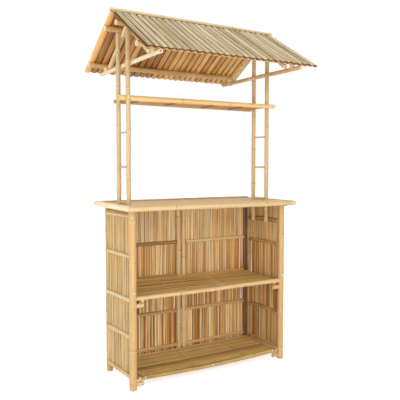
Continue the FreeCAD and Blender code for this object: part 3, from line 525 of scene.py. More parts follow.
class Finish:
    """The nodes of a procedural material, or of the world."""

    def __init__(self, owner):
        self.owner = owner
        owner.use_nodes = True
        self.tree = owner.node_tree
        self.tree.nodes.clear()

    def node(self, kind, settings=None, inputs=None, output=0):
        """Adds a shader node: its type, its settings, and values or links for its sockets."""
        made = self.tree.nodes.new("ShaderNode" + kind)
        for key, value in (settings or {}).items():
            if key == "stops":
                ramp = made.color_ramp
                while len(ramp.elements) < len(value):
                    ramp.elements.new(1.0)
                for element, (position, shade) in zip(ramp.elements, value):
                    element.position = position
                    element.color = (*shade, 1.0)
            else:
                setattr(made, key, value)
        for key, value in (inputs or {}).items():
            socket = made.inputs[key]
            if isinstance(value, Link):
                self.tree.links.new(value.socket, socket)
            elif isinstance(value, tuple) and len(value) == 3 and socket.type == "RGBA":
                socket.default_value = (*value, 1.0)
            else:
                socket.default_value = value
        return Link(self, made.outputs[output]) if len(made.outputs) else None

    def parts(self, vector):
        """The three numbers of a vector."""
        made = self.node("SeparateXYZ", inputs={0: vector}).socket.node
        return [Link(self, made.outputs[i]) for i in range(3)]

    def noise(self, x, y, z, detail=2.0):
        """Noise from 0 to 1 at a point given by three numbers."""
        point = self.node("CombineXYZ", inputs={0: x, 1: y, 2: z})
        return self.node(
            "TexNoise", None,
            {"Vector": point, "Scale": 1.0, "Detail": detail, "Roughness": 0.5},
        )

    def fade(self, value, near, far, start=1.0, stop=0.0):
        """A smooth step from start at near to stop at far."""
        return self.node(
            "MapRange", {"interpolation_type": "SMOOTHSTEP"},
            {"Value": value, "From Min": near, "From Max": far, "To Min": start, "To Max": stop},
        )

    def ramp(self, value, stops):
        return self.node("ValToRGB", {"stops": stops}, {0: value})

    def mix(self, factor, first, second, blend="MIX"):
        """A colour between two, or their product or other blend."""
        return self.node(
            "Mix", {"data_type": "RGBA", "blend_type": blend, "clamp_factor": True},
            {0: factor, 6: first, 7: second}, output=2,
        )

    def shader(self, base, roughness, height, metallic=0.0, specular=0.35, bump=0.3):
        """Ends the material with a Principled shader whose bumps are in metres."""
        normal = self.node("Bump", None, {"Height": height, "Strength": bump, "Distance": 1.0})
        surface = self.node(
            "BsdfPrincipled", None,
            {"Base Color": base, "Roughness": roughness, "Metallic": metallic,
             "Specular IOR Level": specular, "Normal": normal},
        )
        self.node("OutputMaterial", None, {"Surface": surface})
        return self.owner


def new_finish(name):
    return Finish(bpy.data.materials.new(name))


def family_of(name):
    return [f"{name}_{tone}" for tone in TONES]


WARM_PITH = ["pith_cream", "pith_tan", "pith_rust"]
DARK_PITH = ["pith_tan", "pith_rust", "pith_brown"]
# pith of the roof culms: brown, darkening to the groove colour as painted shade in their hollows
SHADED_BROWN_PITH = ["pith_brown", "pith_brown", "groove"]

# Colours of the skin and of the inside, from light to dark, and what else differs
BAMBOOS = {
    "pole": (family_of("pole"), WARM_PITH, dict(groove=0.4, groove_width=0.0015)),
    "golden pole": (family_of("slat"), WARM_PITH, dict(groove=0.4, groove_width=0.0015)),
    "shaded pole": (["slat_middle", "shelf_dark", "pith_brown"], WARM_PITH, dict(blotch=0.6)),
    # painted shade: near-black bamboo for the stile in the hut's dark rear right corner
    "darkest pole": (["shelf_dark", "speck", "groove"], DARK_PITH, dict(blotch=0.8, bloom=0.0)),
    # the near-white pith paints highlights on the cut ends of the roof poles
    "roof pole": (family_of("frame"), ["bloom", "bloom", "pith_cream"], dict(blotch=0.7)),
    "upright": (family_of("upright"), WARM_PITH, {}),
    "batten": (
        family_of("pole") + ["pith_brown"], WARM_PITH,
        dict(streak=0.6, groove=0.85, groove_width=0.003),
    ),
    "slat": (
        family_of("slat"), WARM_PITH + ["pith_brown"],
        dict(bloom=0.1, ring=0.25, specks=0.15, groove=1.0, groove_width=0.0026,
             pith_streak=1.1, fine=240),
    ),
    "shelf": (
        family_of("shelf"), DARK_PITH,
        dict(bloom=0.1, blotch=0.6, streak=1.0, ring=0.8, groove=0.6, groove_width=0.0014,
             fine=240),
    ),
    "counter": (
        family_of("counter"), WARM_PITH,
        dict(bloom=0.1, ring=0.3, specks=0.2, groove=0.25, groove_width=0.001),
    ),
    "weathered": (
        family_of("roof"), SHADED_BROWN_PITH,
        dict(bloom=0.2, blotch=0.3, streak=1.8, gloss=0.55, ring=0.6, groove=1.0,
             groove_width=0.0075, tint=0.35, fine=230),
    ),
    "ceiling": (
        family_of("ceiling"), SHADED_BROWN_PITH,
        dict(bloom=0.1, blotch=0.6, streak=0.9, ring=0.3, groove=1.0, groove_width=0.007),
    ),
}


def bamboo(kind):
    """The material for a kind of bamboo, made when it is first asked for."""
    name = f"{kind} bamboo"
    if name not in bpy.data.materials:
        skin, pith, looks = BAMBOOS[kind]
        bamboo_surface(new_finish(name), skin, pith, **looks)
    return bpy.data.materials[name]


def bamboo_surface(finish, skin, pith, blotch=0.35, streak=0.45, pith_streak=0.7, ring=0.6,
                   bloom=0.15, specks=0.35, gloss=0.42, groove=0.0, groove_width=0.002,
                   tint=0.5, fine=150):
    """Bamboo: fine fibres and wider streaks along the grain, blotches, a broken dark ring and a
    pale band at each node, specks, pith where the culm is cut open, a golden or olive tint for
    each piece, and painted shade with some dirt in the grooves along the edges of split pieces.
    Patterns are scaled in repeats per metre, round and along the piece."""
    shades = colours()
    u, v, _ = finish.parts(finish.node("UVMap", {"uv_map": "grain"}))
    tone = finish.node("Attribute", {"attribute_name": "tone"}, output=1)
    shade, hue, seed = finish.parts(tone)
    near, band, cut = finish.parts(
        finish.node("Attribute", {"attribute_name": "ring"}, output=1)
    )
    edge = finish.node("Attribute", {"attribute_name": "edge"}, output=2)

    fibre = finish.noise(u * 700, v * 7, seed * 40)
    streaks = finish.noise(u * fine, v * 2.2, seed * 60)
    blotches = finish.noise(u * 28, v * 9, seed * 90, 3.0)
    patch = finish.noise(u * 70, v * 40, hue * 70)

    def tones(names, streak, blotch, fibres):
        """A ramp over the named colours, from light to dark."""
        place = shade + (streaks - 0.5) * streak + (blotches - 0.5) * blotch
        stops = [(i / (len(names) - 1), tuple(getattr(shades, names[i])))
                 for i in range(len(names))]
        return finish.ramp(place + (fibre - 0.5) * fibres, stops)

    base = finish.mix(cut, tones(skin, streak, blotch, 0.3), tones(pith, pith_streak, 0.3, 0.4))
    tinted = finish.mix(hue, tuple(shades.golden), tuple(shades.olive))
    base = finish.mix(tint, base, finish.mix(1.0, base, tinted, "MULTIPLY"))

    whole = 1 - cut
    broken = finish.fade(patch, 0.36, 0.60, 0.15, 1.0)
    stain = finish.fade(near, 0.002, 0.020) * finish.fade(patch, 0.46, 0.70, 0.0, 1.0)
    base = finish.mix(stain * whole * (0.5 * ring), base, tuple(shades.ring))
    pale = finish.fade(band, 0.002, 0.006) * whole
    base = finish.mix(pale * bloom, base, tuple(shades.bloom))
    line = finish.fade(near, 0.0008, 0.0034) * broken
    base = finish.mix(line * (ring * (1 - cut * 0.5)), base, tuple(shades.ring))
    speck = finish.fade(finish.noise(u * 160, v * 42, hue * 50, 1.0), 0.70, 0.78, 0.0, 1.0)
    base = finish.mix(speck * specks, base, tuple(shades.speck))
    # painted shade, with some dirt, darkens the grooves along the long edges of split pieces
    if groove:
        uneven = finish.noise(u * 3, v * 5, seed * 30)
        depth = finish.fade(edge, 0.0, groove_width) * finish.fade(uneven, 0.3, 0.7, 0.45, 1.0)
        base = finish.mix(depth * groove, base, tuple(shades.groove))

    roughness = gloss + (fibre - 0.5) * 0.18 + cut * 0.3 + line * 0.15
    height = (fibre - 0.5) * 0.00025 + (streaks - 0.5) * 0.0005 - line * 0.0003
    return finish.shader(base, roughness, height, specular=0.4, bump=0.6)


def metal_finish():
    """Zinced steel with faint turned marks and dull patches."""
    finish = new_finish("zinced steel")
    x, y, z = finish.parts(finish.node("TexCoord", output=3))
    marks = finish.noise(x * 900, y * 900, z * 2500)
    dull = finish.noise(x * 120, y * 120, z * 120)
    steel = tuple(colours().steel)
    base = finish.mix(finish.fade(dull, 0.35, 0.7, 0.0, 0.5), steel,
                      tuple(0.55 * level for level in steel))
    return finish.shader(base, 0.3 + dull * 0.25, (marks - 0.5) * 0.0001, metallic=0.85)


def cleat_finish():
    """Sawn wood with growth lines along x and saw marks across them."""
    finish = new_finish("sawn wood")
    x, y, z = finish.parts(finish.node("TexCoord", output=3))
    growth = finish.noise(x * 6, y * 240, z * 240, 3.0)
    pores = finish.noise(x * 60, y * 1500, z * 1500, 1.0)
    saw = finish.noise(x * 420, y * 8, z * 8, 1.0)
    cleat = tuple(colours().cleat)
    base = finish.ramp(growth, [(0.25, cleat), (0.75, tuple(0.55 * level for level in cleat))])
    base = finish.mix(finish.fade(pores, 0.6, 0.7, 0.0, 0.4), base, tuple(colours().speck))
    return finish.shader(base, 0.6 + growth * 0.2, (saw - 0.5) * 0.0003, specular=0.3)


# Pieces

FLOOR_REACH, FLOOR_LINES = 20, 9
FLOOR_GLOW, WORLD_LIGHT = 0.68, 0.62

# Place, aim, size and power of the lamps
LAMPS = {
    "key": ((-0.6, -4.2, 3.2), (0.0, 0.0, 1.0), 2.4, 56),
    "low": ((-0.9, -4.4, 0.7), (0.0, 0.0, 0.6), 2.0, 20),
    "bounce": ((-1.6, -3.2, 0.12), (0.2, 0.1, 1.2), 1.8, 66),
    "left": ((-4.2, -0.6, 2.4), (0.0, 0.0, 0.9), 2.2, 46),
}


def plain_view(finish):
    """1 for rays that come from the camera, mirrored and refracted ones too, else 0."""
    path = finish.node("LightPath").socket.node
    seen = Link(finish, path.outputs["Is Camera Ray"])
    for ray in ("Is Glossy Ray", "Is Transmission Ray"):
        seen = finish.node("Math", {"operation": "MAXIMUM"},
                           {0: seen, 1: Link(finish, path.outputs[ray])})
    return seen


class HUT_OT_stage(bpy.types.Operator):
    """Pale floor, soft studio light and the camera"""

    bl_idname = "hut.stage"
    bl_label = "Studio"

    def execute(self, context):
        scene = context.scene
        scene.view_settings.view_transform = "Standard"

        # The floor is an even grid of points at height 0
        count = FLOOR_LINES
        side = np.linspace(-FLOOR_REACH, FLOOR_REACH, count)
        x, y = np.meshgrid(side, side, indexing="ij")
        points = np.stack([x, y, 0 * x], axis=-1).reshape(-1, 3)
        corner = np.arange(count * count).reshape(count, count)[:-1, :-1].ravel()
        faces = np.stack([corner, corner + count, corner + count + 1, corner + 1], axis=-1)
        mesh = bpy.data.meshes.new("floor")
        mesh.from_pydata(points.tolist(), [], faces.tolist())
        floor = bpy.data.objects.new("floor", mesh)
        scene.collection.objects.link(floor)

        finish = new_finish("studio floor")
        pale = finish.node("BsdfDiffuse", None, {"Color": tuple(colours().floor)})
        glow = finish.node("Emission", None, {"Strength": plain_view(finish) * FLOOR_GLOW})
        both = finish.node("AddShader", None, {0: pale, 1: glow})
        finish.node("OutputMaterial", None, {"Surface": both})
        mesh.materials.append(finish.owner)

        scene.world = bpy.data.worlds.new("studio")
        studio = Finish(scene.world)
        white = {"Color": (1.0, 1.0, 1.0), "Strength": 1.0}
        light = studio.node("Background", None, {**white, "Strength": WORLD_LIGHT})
        backdrop = studio.node("Background", None, white)
        both = studio.node("MixShader", None, {0: plain_view(studio), 1: light, 2: backdrop})
        studio.node("OutputWorld", None, {"Surface": both})

        for name, (place, aim, size, power) in LAMPS.items():
            data = bpy.data.lights.new(name, "AREA")
            data.size = size
            data.energy = power
            lamp = bpy.data.objects.new(name, data)
            lamp.location = place
            toward = unit(np.array(aim) - np.array(place))
            lamp.rotation_euler = (math.acos(-toward[2]), 0,
                                   math.atan2(toward[1], toward[0]) - math.pi / 2)
            scene.collection.objects.link(lamp)

        data = bpy.data.cameras.new("camera")
        data.sensor_width = 36.0
        data.lens = 50.12
        data.clip_start = 0.05
        data.clip_end = 100.0
        camera = bpy.data.objects.new("camera", data)
        camera.location = (-1.688, -2.889, 1.205)
        camera.rotation_euler = (math.radians(86.60), 0.0, math.radians(-30.55))
        scene.collection.objects.link(camera)
        scene.camera = camera
        return {"FINISHED"}


def poles(name, finish, slot, node, shift=(0, 0, 0), girth=1.0, **looks):
    """A piece of poles in the places of a node's solids. Their ends are moved by the shift, and
    their radius is multiplied by the girth; both may be a pair, for the start and the end."""
    pile = Pile()
    at_start, at_end = np.broadcast_to(shift, (2, 3))
    for box in solids(node):
        start, end, radius = ends_of(box)
        culm(pile, start + at_start, end + at_end, radius * np.asarray(girth), **looks)
    pile.piece(name, finish, slot, node)


def deck(name, finish, slot, node, shades, gap, **looks):
    """A piece of strips along x that fills a node's box."""
    pile = Pile()
    (box,) = solids(node)
    strips(pile, *box, 0, UP, sizes().deck_strip, shades, gap, **looks)
    pile.piece(name, finish, slot, node)


POST_NODES = {
    "front_left": (0.031, 0.218, 0.445, 0.692, 0.918),
    "front_right": (0.075, 0.312, 0.549, 0.786),
    "rear_left": (0.12, 0.36, 0.6, 0.84),
    "rear_right": (0.16, 0.39, 0.63, 0.86),
}


class HUT_OT_posts(bpy.types.Operator):
    """Four corner posts, open at the foot"""

    bl_idname = "hut.posts"
    bl_label = "Corner posts"

    def execute(self, context):
        for name, places in POST_NODES.items():
            # the rear right post is darker and browner as painted shade of the dark rear corner
            brown = name == "rear_right"
            poles(f"corner_post_{name}", "shelf" if brown else "pole", "posts",
                  f"post_{name}", girth=1.08 if name == "front_left" else 1.0, face=FRONT,
                  places=places, shade=0.8 if brown else 0.6, spread=0.03, sides=28)
        return {"FINISHED"}


def half_battens(name, finish, node, face, shades, rises=(0.0,), bends=(0.0,), slant=0.0):
    """Split battens of one node, with their round side towards the face. Shades, rises and
    upward bends are taken in turn along the sorted battens. Slant moves their rear ends out."""
    pile = Pile()
    normal = int(np.argmax(np.abs(face)))
    for i, (low, high) in enumerate(solids(node)):
        start, end, _ = ends_of((low, high))
        start[normal] = end[normal] = low[normal] if face[normal] > 0 else high[normal]
        for point in (start, end):
            point[2] += rises[i % len(rises)]
        end[normal] += slant * face[normal]
        upward = axes(start, end, face)[2][2]
        split(pile, start, end, face, (high - low)[normal], sizes().split_wall,
              shade=shades[i % len(shades)], spread=0.06, bend=bends[i % len(bends)] * upward)
    pile.piece(name, finish, "battens", node)


SLAT_SHADES = (0.0, 0.05, 0.15, 0.4, 0.5, 0.7, 0.9)
ROW_PAINTED_SHADING = (0.9, 0.9, 0.7, 0.3)  # painted light and shade: how dark each row's slats are, from the lowest row to the top row


def row_shades(row):
    """Shades of the slats in a row. They get lighter towards the top row: painted light, with
    painted shade in the lower rows.
    """
    return tuple(shade * ROW_PAINTED_SHADING[row] for shade in SLAT_SHADES)


SIDE_SLANT = 0.017  # how far the left panel's rear edge stands out
SIDE_REACH = (0.024, 0.024, 0.008, 0.008)  # how far the right mats go on to the rear, by row
SLAT_ENDS = 0.003  # how uneven the slats' ends are


class HUT_OT_side_panels(bpy.types.Operator):
    """Slat mats between inner and outer split battens on both sides"""

    bl_idname = "hut.side_panels"
    bl_label = "Side panels"

    def execute(self, context):
        for side, outward, inward in (("left", LEFT, RIGHT), ("right", RIGHT, LEFT)):
            slant = SIDE_SLANT if side == "left" else 0.0
            half_battens(f"outer_battens_{side}", "batten", f"side_battens_outer_{side}",
                         outward, (0.2,), slant=slant)
            half_battens(f"inner_battens_{side}", "shaded pole",
                         f"side_battens_inner_{side}", inward, (0.4, 0.25, 0.35, 0.15, 0.2),
                         bends=(0.004, 0.0, 0.012, 0.0, 0.003))
            pile = Pile()
            for row, (low, high) in enumerate(solids(f"side_mats_{side}")):
                shades = (0.0, 0.1, 0.2, 0.35)
                if side == "right":
                    high = high + (0, SIDE_REACH[row], 0)
                    shades = row_shades(row)
                strips(pile, low, high, 2, outward, sizes().slat_width, shades,
                       sizes().slat_gap, ragged=SLAT_ENDS, lift=((0, 0), (slant, slant)))
            pile.piece(f"side_slats_{side}", "slat", "slats", f"side_mats_{side}")
        return {"FINISHED"}


# Places of the nodes, shift along x, girth and finish
STILES = {
    "left_inner": ((0.1835, 0.42, 0.65, 0.86), -0.003, 1.06, "pole"),
    "right_inner": ((0.14, 0.37, 0.609, 0.83), 0.0005, 0.84, "pole"),
    "left_outer": ((0.2, 0.45, 0.7), 0.0, 1.0, "pole"),
    # the right outer stile carries the painted shade of the dark rear right corner
    "right_outer": ((0.11, 0.35, 0.6, 0.82), -0.002, 1.0, "darkest pole"),
}
LEFT_MAT_SHORT = 0.0125  # how far the left mats end before their node's inner side
PAINTED_SHADOW_SLAT_WIDTH = 0.006  # a slat painted dark as shadow, which closes each left mat
PAINTED_SHADOW_SLAT = (-0.035, -0.019)  # a slat painted dark as the shadow behind the left inner stile
MIDDLE_ROWS = (1, 2)
LONE_SLAT = (0.4415, 0.453)  # the slat that stands apart in the right mats' middle rows
RIGHT_MAT_EARLY = 0.008  # how far the right mats begin before their node
RIGHT_MAT_LONG, RIGHT_MIDDLE_LONG = 0.018, 0.003  # how far the outer and middle rows pass it


def lone_slat(pile, box, first, last, shade, gap=0.0, ragged=0.001):
    """One slat of a back mat, from first to last along x, and as high and thick as the box."""
    low, high = box
    strips(pile, (first, *low[1:]), (last, *high[1:]), 2, BACK, last - first, (shade,), gap,
           ragged=ragged)


class HUT_OT_back_frames(bpy.types.Operator):
    """Two back frames: stiles, split battens and slat mats"""

    bl_idname = "hut.back_frames"
    bl_label = "Back frames"

    def execute(self, context):
        for name, (places, shift, girth, finish) in STILES.items():
            poles(f"stile_{name}", finish, "stiles", f"back_stile_{name}", shift=(shift, 0, 0),
                  girth=girth, face=FRONT, places=places, shade=0.4)
        half_battens("frame_battens_inner", "batten", "back_battens_inner", FRONT,
                     (0.45, 0.5, 0.7, 0.8, 0.6, 0.45, 0.4, 0.4, 0.25, 0.5),
                     rises=(-0.009, 0.0, 0.009, 0.0, 0.0, -0.009, 0.0, -0.005, 0.0, 0.0))
        half_battens("frame_battens_outer", "batten", "back_battens_outer", BACK, (0.45,))
        for side in ("left", "right"):
            pile = Pile()
            for row, (low, high) in enumerate(solids(f"back_mats_{side}")):
                if side == "left":
                    high = high - (LEFT_MAT_SHORT, 0, 0)
                    # slats in painted shadow, at the mat's end and behind the left inner stile
                    for first, last in ((high[0], high[0] + PAINTED_SHADOW_SLAT_WIDTH), PAINTED_SHADOW_SLAT):
                        lone_slat(pile, (low, high), first, last, 1.0)
                else:
                    middle = row in MIDDLE_ROWS
                    if middle:
                        lone_slat(pile, (low, high), *LONE_SLAT, 0.2, sizes().slat_gap,
                                  SLAT_ENDS)
                    low = low - (RIGHT_MAT_EARLY, 0, 0)
                    high = high + (RIGHT_MIDDLE_LONG if middle else RIGHT_MAT_LONG, 0, 0)
                strips(pile, low, high, 2, BACK, sizes().slat_width, row_shades(row),
                       sizes().slat_gap, ragged=SLAT_ENDS)
            pile.piece(f"back_slats_{side}", "slat", "slats", f"back_mats_{side}")
        return {"FINISHED"}


# Inner side, places of the nodes, shade, finish, shift and girth
COUNTER_EDGES = {
    "front": (BACK, (0.281, 0.55, 0.887), 0.38, "pole", (0, 0, 0), 1.0),
    # the rear edge pole is darker as painted shade along the back of the deck
    "rear": (FRONT, (0.2, 0.44, 0.71, 0.95), 0.75, "pole", (0, 0, 0.005), 1.0),
    # painted highlight: the left edge pole is near white, in the roof poles' light bamboo
    "left": (RIGHT, (0.13, 0.4), 0.05, "roof pole", ((0, 0, 0), (0, 0.005, 0.005)),
             (1.0, 1.1)),
    "right": (LEFT, (0.2, 0.44), 0.3, "pole", (0, 0, 0), 1.0),
}


class HUT_OT_counter(bpy.types.Operator):
    """Counter: mitred edge poles, strip deck and joists"""

    bl_idname = "hut.counter"
    bl_label = "Counter"

    def execute(self, context):
        for name, (inner, places, shade, finish, shift, girth) in COUNTER_EDGES.items():
            poles(f"counter_edge_{name}", finish, "counter_edge", f"counter_pole_{name}",
                  shift=shift, girth=girth, places=places, bore=False, mitre=inner,
                  shade=shade, spread=0.03, sides=28)
        deck("counter_strips", "counter", "counter_top", "counter_deck", (0.3, 0.5, 0.7),
             sizes().slat_gap / 2, culm_strips=(3, 6), uneven=0.0002)
        poles("counter_bearers", "pole", "shelf_rails", "counter_joists", shade=0.6)
        return {"FINISHED"}


SHELVES = {
    "mid": dict(
        rail_nodes=(0.2782, 0.5055, 0.7275, 0.93), rail_bow=(0.0, 0.0), rail_shade=0.28,
        rail_finish="pole", sag=0.0, lines=((0.256, 0.292), (0.598, 0.624)),
        lift=((0.0, 0.0), (0.027, 0.003)), shades=(0.1, 0.25, 0.35, 0.45, 0.55, 0.75),
    ),
    "low": dict(
        # the low front rail is darker in the shelves' bamboo: partly its own colour, partly
        # painted shade
        rail_nodes=(0.045, 0.2654, 0.505, 0.745), rail_bow=(0.0, 0.010), rail_shade=0.6,
        rail_finish="shelf", sag=0.007, lines=((0.332, 0.362), (0.686, 0.700)),
        lift=((0.0, 0.0), (0.002, 0.0)), shades=(0.14, 0.29, 0.39, 0.49, 0.59, 0.79),
    ),
}
PEG_GIRTH, PEG_DROP = 0.85, (0, 0, 0.002)
MIDDLE_JOIST = (0, 0.032, 0.002)  # how far the middle joists' front ends are moved
LOW_JOIST_GIRTH, LOW_JOIST_SHIFT = 1.1, 0.003
RIGHT_PAINTED_SHADE = 0.25  # painted shade: how much darker the joists and pegs on the right are


class HUT_OT_shelves(bpy.types.Operator):
    """Two cabinet shelves: rails, strip decks, joists and the pegs under them"""

    bl_idname = "hut.shelves"
    bl_label = "Shelves"

    def execute(self, context):
        for level, plan in SHELVES.items():
            poles(f"{level}_rail_front", plan["rail_finish"], "shelf_rails",
                  f"shelf_{level}_rail_front", girth=(0.92, 1.06), face=FRONT,
                  places=plan["rail_nodes"], bow=plan["rail_bow"], shade=plan["rail_shade"])
            poles(f"{level}_rail_rear", "shelf", "shelf_rails",
                  f"shelf_{level}_rail_rear", shade=0.45,
                  shift=[(0, 0, rise) for rise in plan["lift"][1]])
            deck(f"{level}_shelf_strips", "shelf", "shelf_strips", f"shelf_{level}_deck",
                 plan["shades"], sizes().slat_gap, culm_strips=(1, 2), sag=plan["sag"],
                 lines=plan["lines"], lift=plan["lift"])
            for kind, shade in (("joists", 0.65), ("pegs", 0.3)):
                pile = Pile()
                for box in solids(f"shelf_{level}_{kind}"):
                    start, end, _ = ends_of(box)
                    radius = (box[1] - box[0]).min() / 2
                    outward = np.array([np.sign(start[0]), 0, 0])
                    if kind == "pegs":
                        radius *= PEG_GIRTH
                        start, end = start - PEG_DROP, end - PEG_DROP
                    elif abs(start[0]) < 0.1:
                        start = start + MIDDLE_JOIST
                    elif level == "low":
                        radius *= LOW_JOIST_GIRTH
                        start = start + LOW_JOIST_SHIFT * outward
                        end = end + LOW_JOIST_SHIFT * outward
                    culm(pile, start, end, radius, places=() if kind == "pegs" else None,
                         bore=False, shade=shade + RIGHT_PAINTED_SHADE * (start[0] > 0))
                pile.piece(f"{level}_{kind}", "pole", "shelf_rails",
                           f"shelf_{level}_{kind}")
        return {"FINISHED"}


UPRIGHT_NODES = {
    "left_front": (0.07, 0.302, 0.55, 0.78, 0.98),
    "left_rear": (0.14, 0.36, 0.583, 0.8, 1.01),
    "right_front": (0.09, 0.33, 0.6, 0.83),
    "right_rear": (0.24, 0.46, 0.678, 0.9),
}


class HUT_OT_uprights(bpy.types.Operator):
    """Ladder uprights with their rungs and foot bars"""

    bl_idname = "hut.uprights"
    bl_label = "Uprights"

    def execute(self, context):
        for name, places in UPRIGHT_NODES.items():
            poles(f"ladder_pole_{name}", "upright", "uprights", f"upright_{name}",
                  face=FRONT, places=places, shade=0.5, spread=0.04, sides=24)
        for name, node in (("ladder_rungs", "upright_rungs"), ("ladder_feet", "upright_feet")):
            poles(name, "upright", "uprights", node, bore=False, shade=0.4, sides=14)
        return {"FINISHED"}


HIGH_SLANT = math.tan(math.radians(3.23))  # of the front rail, seen from above
HIGH_RAIL_Y, HIGH_RAIL_Z = -0.0561, 1.583  # its axis at x = 0
HIGH_RAIL_ENDS, HIGH_RAIL_RADII = (-0.516, 0.508), (0.016, 0.012)
HIGH_BEARER = (0.009, 0.003)  # radius and wall
HIGH_STRIPS, HIGH_GAP = 9, 0.0008


def high_edge(x):
    """The y of the high shelf's slanting front rail at x."""
    return HIGH_RAIL_Y - x * HIGH_SLANT


class HUT_OT_high_shelf(bpy.types.Operator):
    """High shelf: tapering front rail, rear rail, strip deck and split bearers"""

    bl_idname = "hut.high_shelf"
    bl_label = "High shelf"

    def execute(self, context):
        pile = Pile()
        start, end = (np.array([x, high_edge(x), HIGH_RAIL_Z]) for x in HIGH_RAIL_ENDS)
        culm(pile, start, end, HIGH_RAIL_RADII, face=FRONT,
             places=(0.14, 0.383, 0.706, 0.85), shade=0.15, spread=0.03, sides=28)
        pile.piece("high_rail_front", "golden pole", "shelf_rails",
                   "high_shelf_rail_front")
        poles("high_rail_rear", "pole", "shelf_rails", "high_shelf_rail_rear",
              face=FRONT, places=(0.1816, 0.43, 0.68, 0.9), shade=0.65)
        pile = Pile()
        for low, high in solids("high_shelf_bearers"):
            start, end, _ = ends_of((low, high))
            start[2] = end[2] = high[2]
            # painted shade: the bearers are dark so that they read as the shadows under the deck
            split(pile, start, end, DOWN, *HIGH_BEARER, shade=0.9)
        pile.piece("high_bearers", "shaded pole", "shelf_rails", "high_shelf_bearers")

        # The strips fan out from the rear rail to the slanting front rail
        pile = Pile()
        ((low, high),) = solids("high_shelf_deck")
        depth_left, depth_right = high[1] - high_edge(low[0]), high[1] - high_edge(high[0])
        widths = rng.uniform(0.8, 1.2, HIGH_STRIPS)
        edges = np.concatenate([[0], np.cumsum(widths) / widths.sum()])
        for first, last in zip(edges[:-1], edges[1:]):
            share = (first + last) / 2
            start = np.array([low[0], high[1] - depth_left * share, low[2]])
            end = np.array([high[0], high[1] - depth_right * share, low[2]])
            width = (last - first) * (depth_left + depth_right) / 2
            section = strip_section(width - HIGH_GAP, high[2] - low[2])
            places = node_places(high[0] - low[0], sizes().internode)
            bar(pile, start, end, UP, section, STRIP_SWELLING, places, SLAT_NODE, DECK_STEP,
                tone_of(0.4, 0.2))
        pile.piece("high_shelf_strips", "shelf", "shelf_strips", "high_shelf_deck")
        return {"FINISHED"}


RIDGE_RADII = (0.009, 0.008)
RAFTER_X, RAFTER_RADIUS = 0.4445, 0.014
RAFTER_FOOT, RAFTER_TOP = (0.268, 1.7969), (0.004, 1.9886)  # distance from the ridge, height
PACKER_RADIUS, PACKER_INSET = 0.0145, 0.014


class HUT_OT_roof_frame(bpy.types.Operator):
    """Roof poles: ridge, purlins, tie rods, rafters and packers"""

    bl_idname = "hut.roof_frame"
    bl_label = "Roof frame"

    def execute(self, context):
        pile = Pile()
        (box,) = solids("ridge_pole")
        start, end, _ = ends_of(box)
        culm(pile, start + (0, 0, sizes().apex_rise), end, RIDGE_RADII, shade=0.12)
        pile.piece("ridge", "pole", "roof_frame", "ridge_pole")
        for name, node, shade in (
            ("purlin_poles_front", "purlins_front", 0.55),
            ("purlin_poles_rear", "purlins_rear", 0.6),
            # the left tie rod is light as a painted highlight along its lit top
            ("gable_rod_left", "tie_rod_left", 0.15),
            ("gable_rod_right", "tie_rod_right", 0.5),
        ):
            poles(name, "roof pole", "roof_frame", node, face=DOWN, shade=shade,
                  spread=0.05)
        pile = Pile()
        for x in (-RAFTER_X, RAFTER_X):
            for way in (-1, 1):
                foot, top = ((x, way * y, z) for y, z in (RAFTER_FOOT, RAFTER_TOP))
                culm(pile, foot, top, RAFTER_RADIUS, face=RIGHT, bore=False, shade=0.35)
        pile.piece("rafter_poles", "roof pole", "roof_frame", "rafters")
        pile = Pile()
        for low, high in solids("purlin_packers"):
            start = (low + high) / 2
            start[1] -= PACKER_INSET * np.sign(start[1])
            end = start.copy()
            start[2], end[2] = low[2], high[2]
            culm(pile, start, end, PACKER_RADIUS, face=RIGHT, places=(), bore=False, shade=0.25)
        pile.piece("packers", "roof pole", "roof_frame", "purlin_packers")
        return {"FINISHED"}


ROOF_ANGLE = math.radians(31)
ROOF_APEX, ROOF_RUN = 2.052, 0.435  # height of the apex, and depth of a slope seen from above
ROOF_RADIUS, ROOF_WALL, ROOF_CHORD = 0.0266, 0.0035, 0.038
ROOF_LAYER = 0.0143  # depth of a trough's hollow back below the slope
ROOF_RAGGED = (0.003, 0.004)  # how uneven the culms' upper and lower ends are
VERGE_LONGER = 0.006  # how much further down the last culm reaches

# Which way the round side is, distance from the apex, sideways shift of the last culm, spread
# of the shades and finish
ROOF_ROWS = {
    "troughs": (-1, 0.007, -0.009, 0.35, "ceiling"),
    "caps": (1, 0.024, 0.007, 0.24, "weathered"),
}


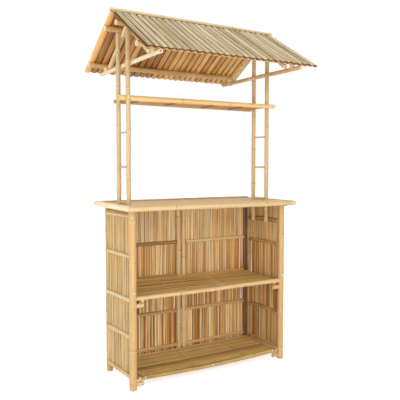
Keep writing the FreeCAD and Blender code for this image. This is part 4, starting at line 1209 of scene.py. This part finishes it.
class HUT_OT_roof_culms(bpy.types.Operator):
    """Split culms on both slopes: a lower row with its hollow side up and an upper row over
    the seams"""

    bl_idname = "hut.roof_culms"
    bl_label = "Roof culms"

    def execute(self, context):
        half_angle = math.degrees(math.asin(ROOF_CHORD / 2 / ROOF_RADIUS))
        reach = ROOF_RUN / math.cos(ROOF_ANGLE)
        for slope, way in (("front", -1), ("rear", 1)):
            normal = np.array([0, way * math.sin(ROOF_ANGLE), math.cos(ROOF_ANGLE)])
            down = np.array([0, way * math.cos(ROOF_ANGLE), -math.sin(ROOF_ANGLE)])
            for kind, (bow, begin, verge, spread, finish) in ROOF_ROWS.items():
                pile = Pile()
                boxes = solids(f"roof_{kind}_{slope}")
                depth = ROOF_RADIUS if bow > 0 else ROOF_LAYER - ROOF_RADIUS
                for i, (low, high) in enumerate(boxes):
                    share = i / (len(boxes) - 1)
                    line = np.array([(low[0] + high[0]) / 2, 0, ROOF_APEX]) - depth * normal
                    start = line + down * (begin + rng.uniform(0, ROOF_RAGGED[0]))
                    end = line + down * (reach - rng.uniform(0, ROOF_RAGGED[1]))
                    start[2] += sizes().apex_rise * (1 - share)
                    if slope == "front":
                        end[0] += sizes().eave_fan * share
                    if share == 1:
                        end += down * VERGE_LONGER
                        start[0] += verge
                        end[0] += verge
                    inner = 0 < share < 1
                    # troughs get lighter towards the right as painted light; the front slope's
                    # left verge trough is darkest, a painted shadow line
                    shade = 0.46 if kind == "caps" else 0.6 - 0.45 * share
                    if kind == "troughs" and not inner:
                        shade = 1.0 - share if slope == "front" else 0.3
                    split(pile, start, end, bow * normal, ROOF_RADIUS, ROOF_WALL, half_angle,
                          shade=shade, spread=spread, arc_points=7,
                          grooved=kind == "caps" or inner)
                pile.piece(f"{slope}_{kind}", finish, "roof_culms", f"roof_{kind}_{slope}")
        return {"FINISHED"}


class HUT_OT_fasteners(bpy.types.Operator):
    """Finishes of the screws, bolts and cleats, which keep their CAD shapes"""

    bl_idname = "hut.fasteners"
    bl_label = "Fasteners"

    def execute(self, context):
        screws = ("cabinet_screws", "counter_screws", "upper_screws", "tie_bolts")
        finishes = dict.fromkeys(screws, metal_finish())
        finishes["back_cleats"] = cleat_finish()
        for node, finish in finishes.items():
            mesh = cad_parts[node].data
            mesh.materials.clear()
            mesh.materials.append(finish)
        return {"FINISHED"}


STEPS = (
    HUT_OT_stage, HUT_OT_posts, HUT_OT_side_panels, HUT_OT_back_frames, HUT_OT_counter,
    HUT_OT_shelves, HUT_OT_uprights, HUT_OT_high_shelf, HUT_OT_roof_frame, HUT_OT_roof_culms,
    HUT_OT_fasteners,
)


class HUT_PT_panel(bpy.types.Panel):
    """Buttons and settings of the hut"""

    bl_idname = "HUT_PT_panel"
    bl_label = "Bar hut"
    bl_space_type = "VIEW_3D"
    bl_region_type = "UI"
    bl_category = "Bar hut"

    def draw(self, context):
        layout = self.layout
        for step in STEPS:
            layout.operator(step.bl_idname)
        for group in (context.scene.hut_sizes, context.scene.hut_colours):
            box = layout.box()
            for name in group.bl_rna.properties.keys():
                if name not in ("rna_type", "name"):
                    box.prop(group, name)


CLASSES = (HutSizes, HutColours, *STEPS, HUT_PT_panel)


def register():
    for item in CLASSES:
        bpy.utils.register_class(item)
    bpy.types.Scene.hut_sizes = bpy.props.PointerProperty(type=HutSizes)
    bpy.types.Scene.hut_colours = bpy.props.PointerProperty(type=HutColours)


def unregister():
    del bpy.types.Scene.hut_colours
    del bpy.types.Scene.hut_sizes
    for item in reversed(CLASSES):
        bpy.utils.unregister_class(item)


def main():
    register()
    for step in STEPS:
        family, name = step.bl_idname.split(".")
        getattr(getattr(bpy.ops, family), name)()


if __name__ == "__main__":
    main()
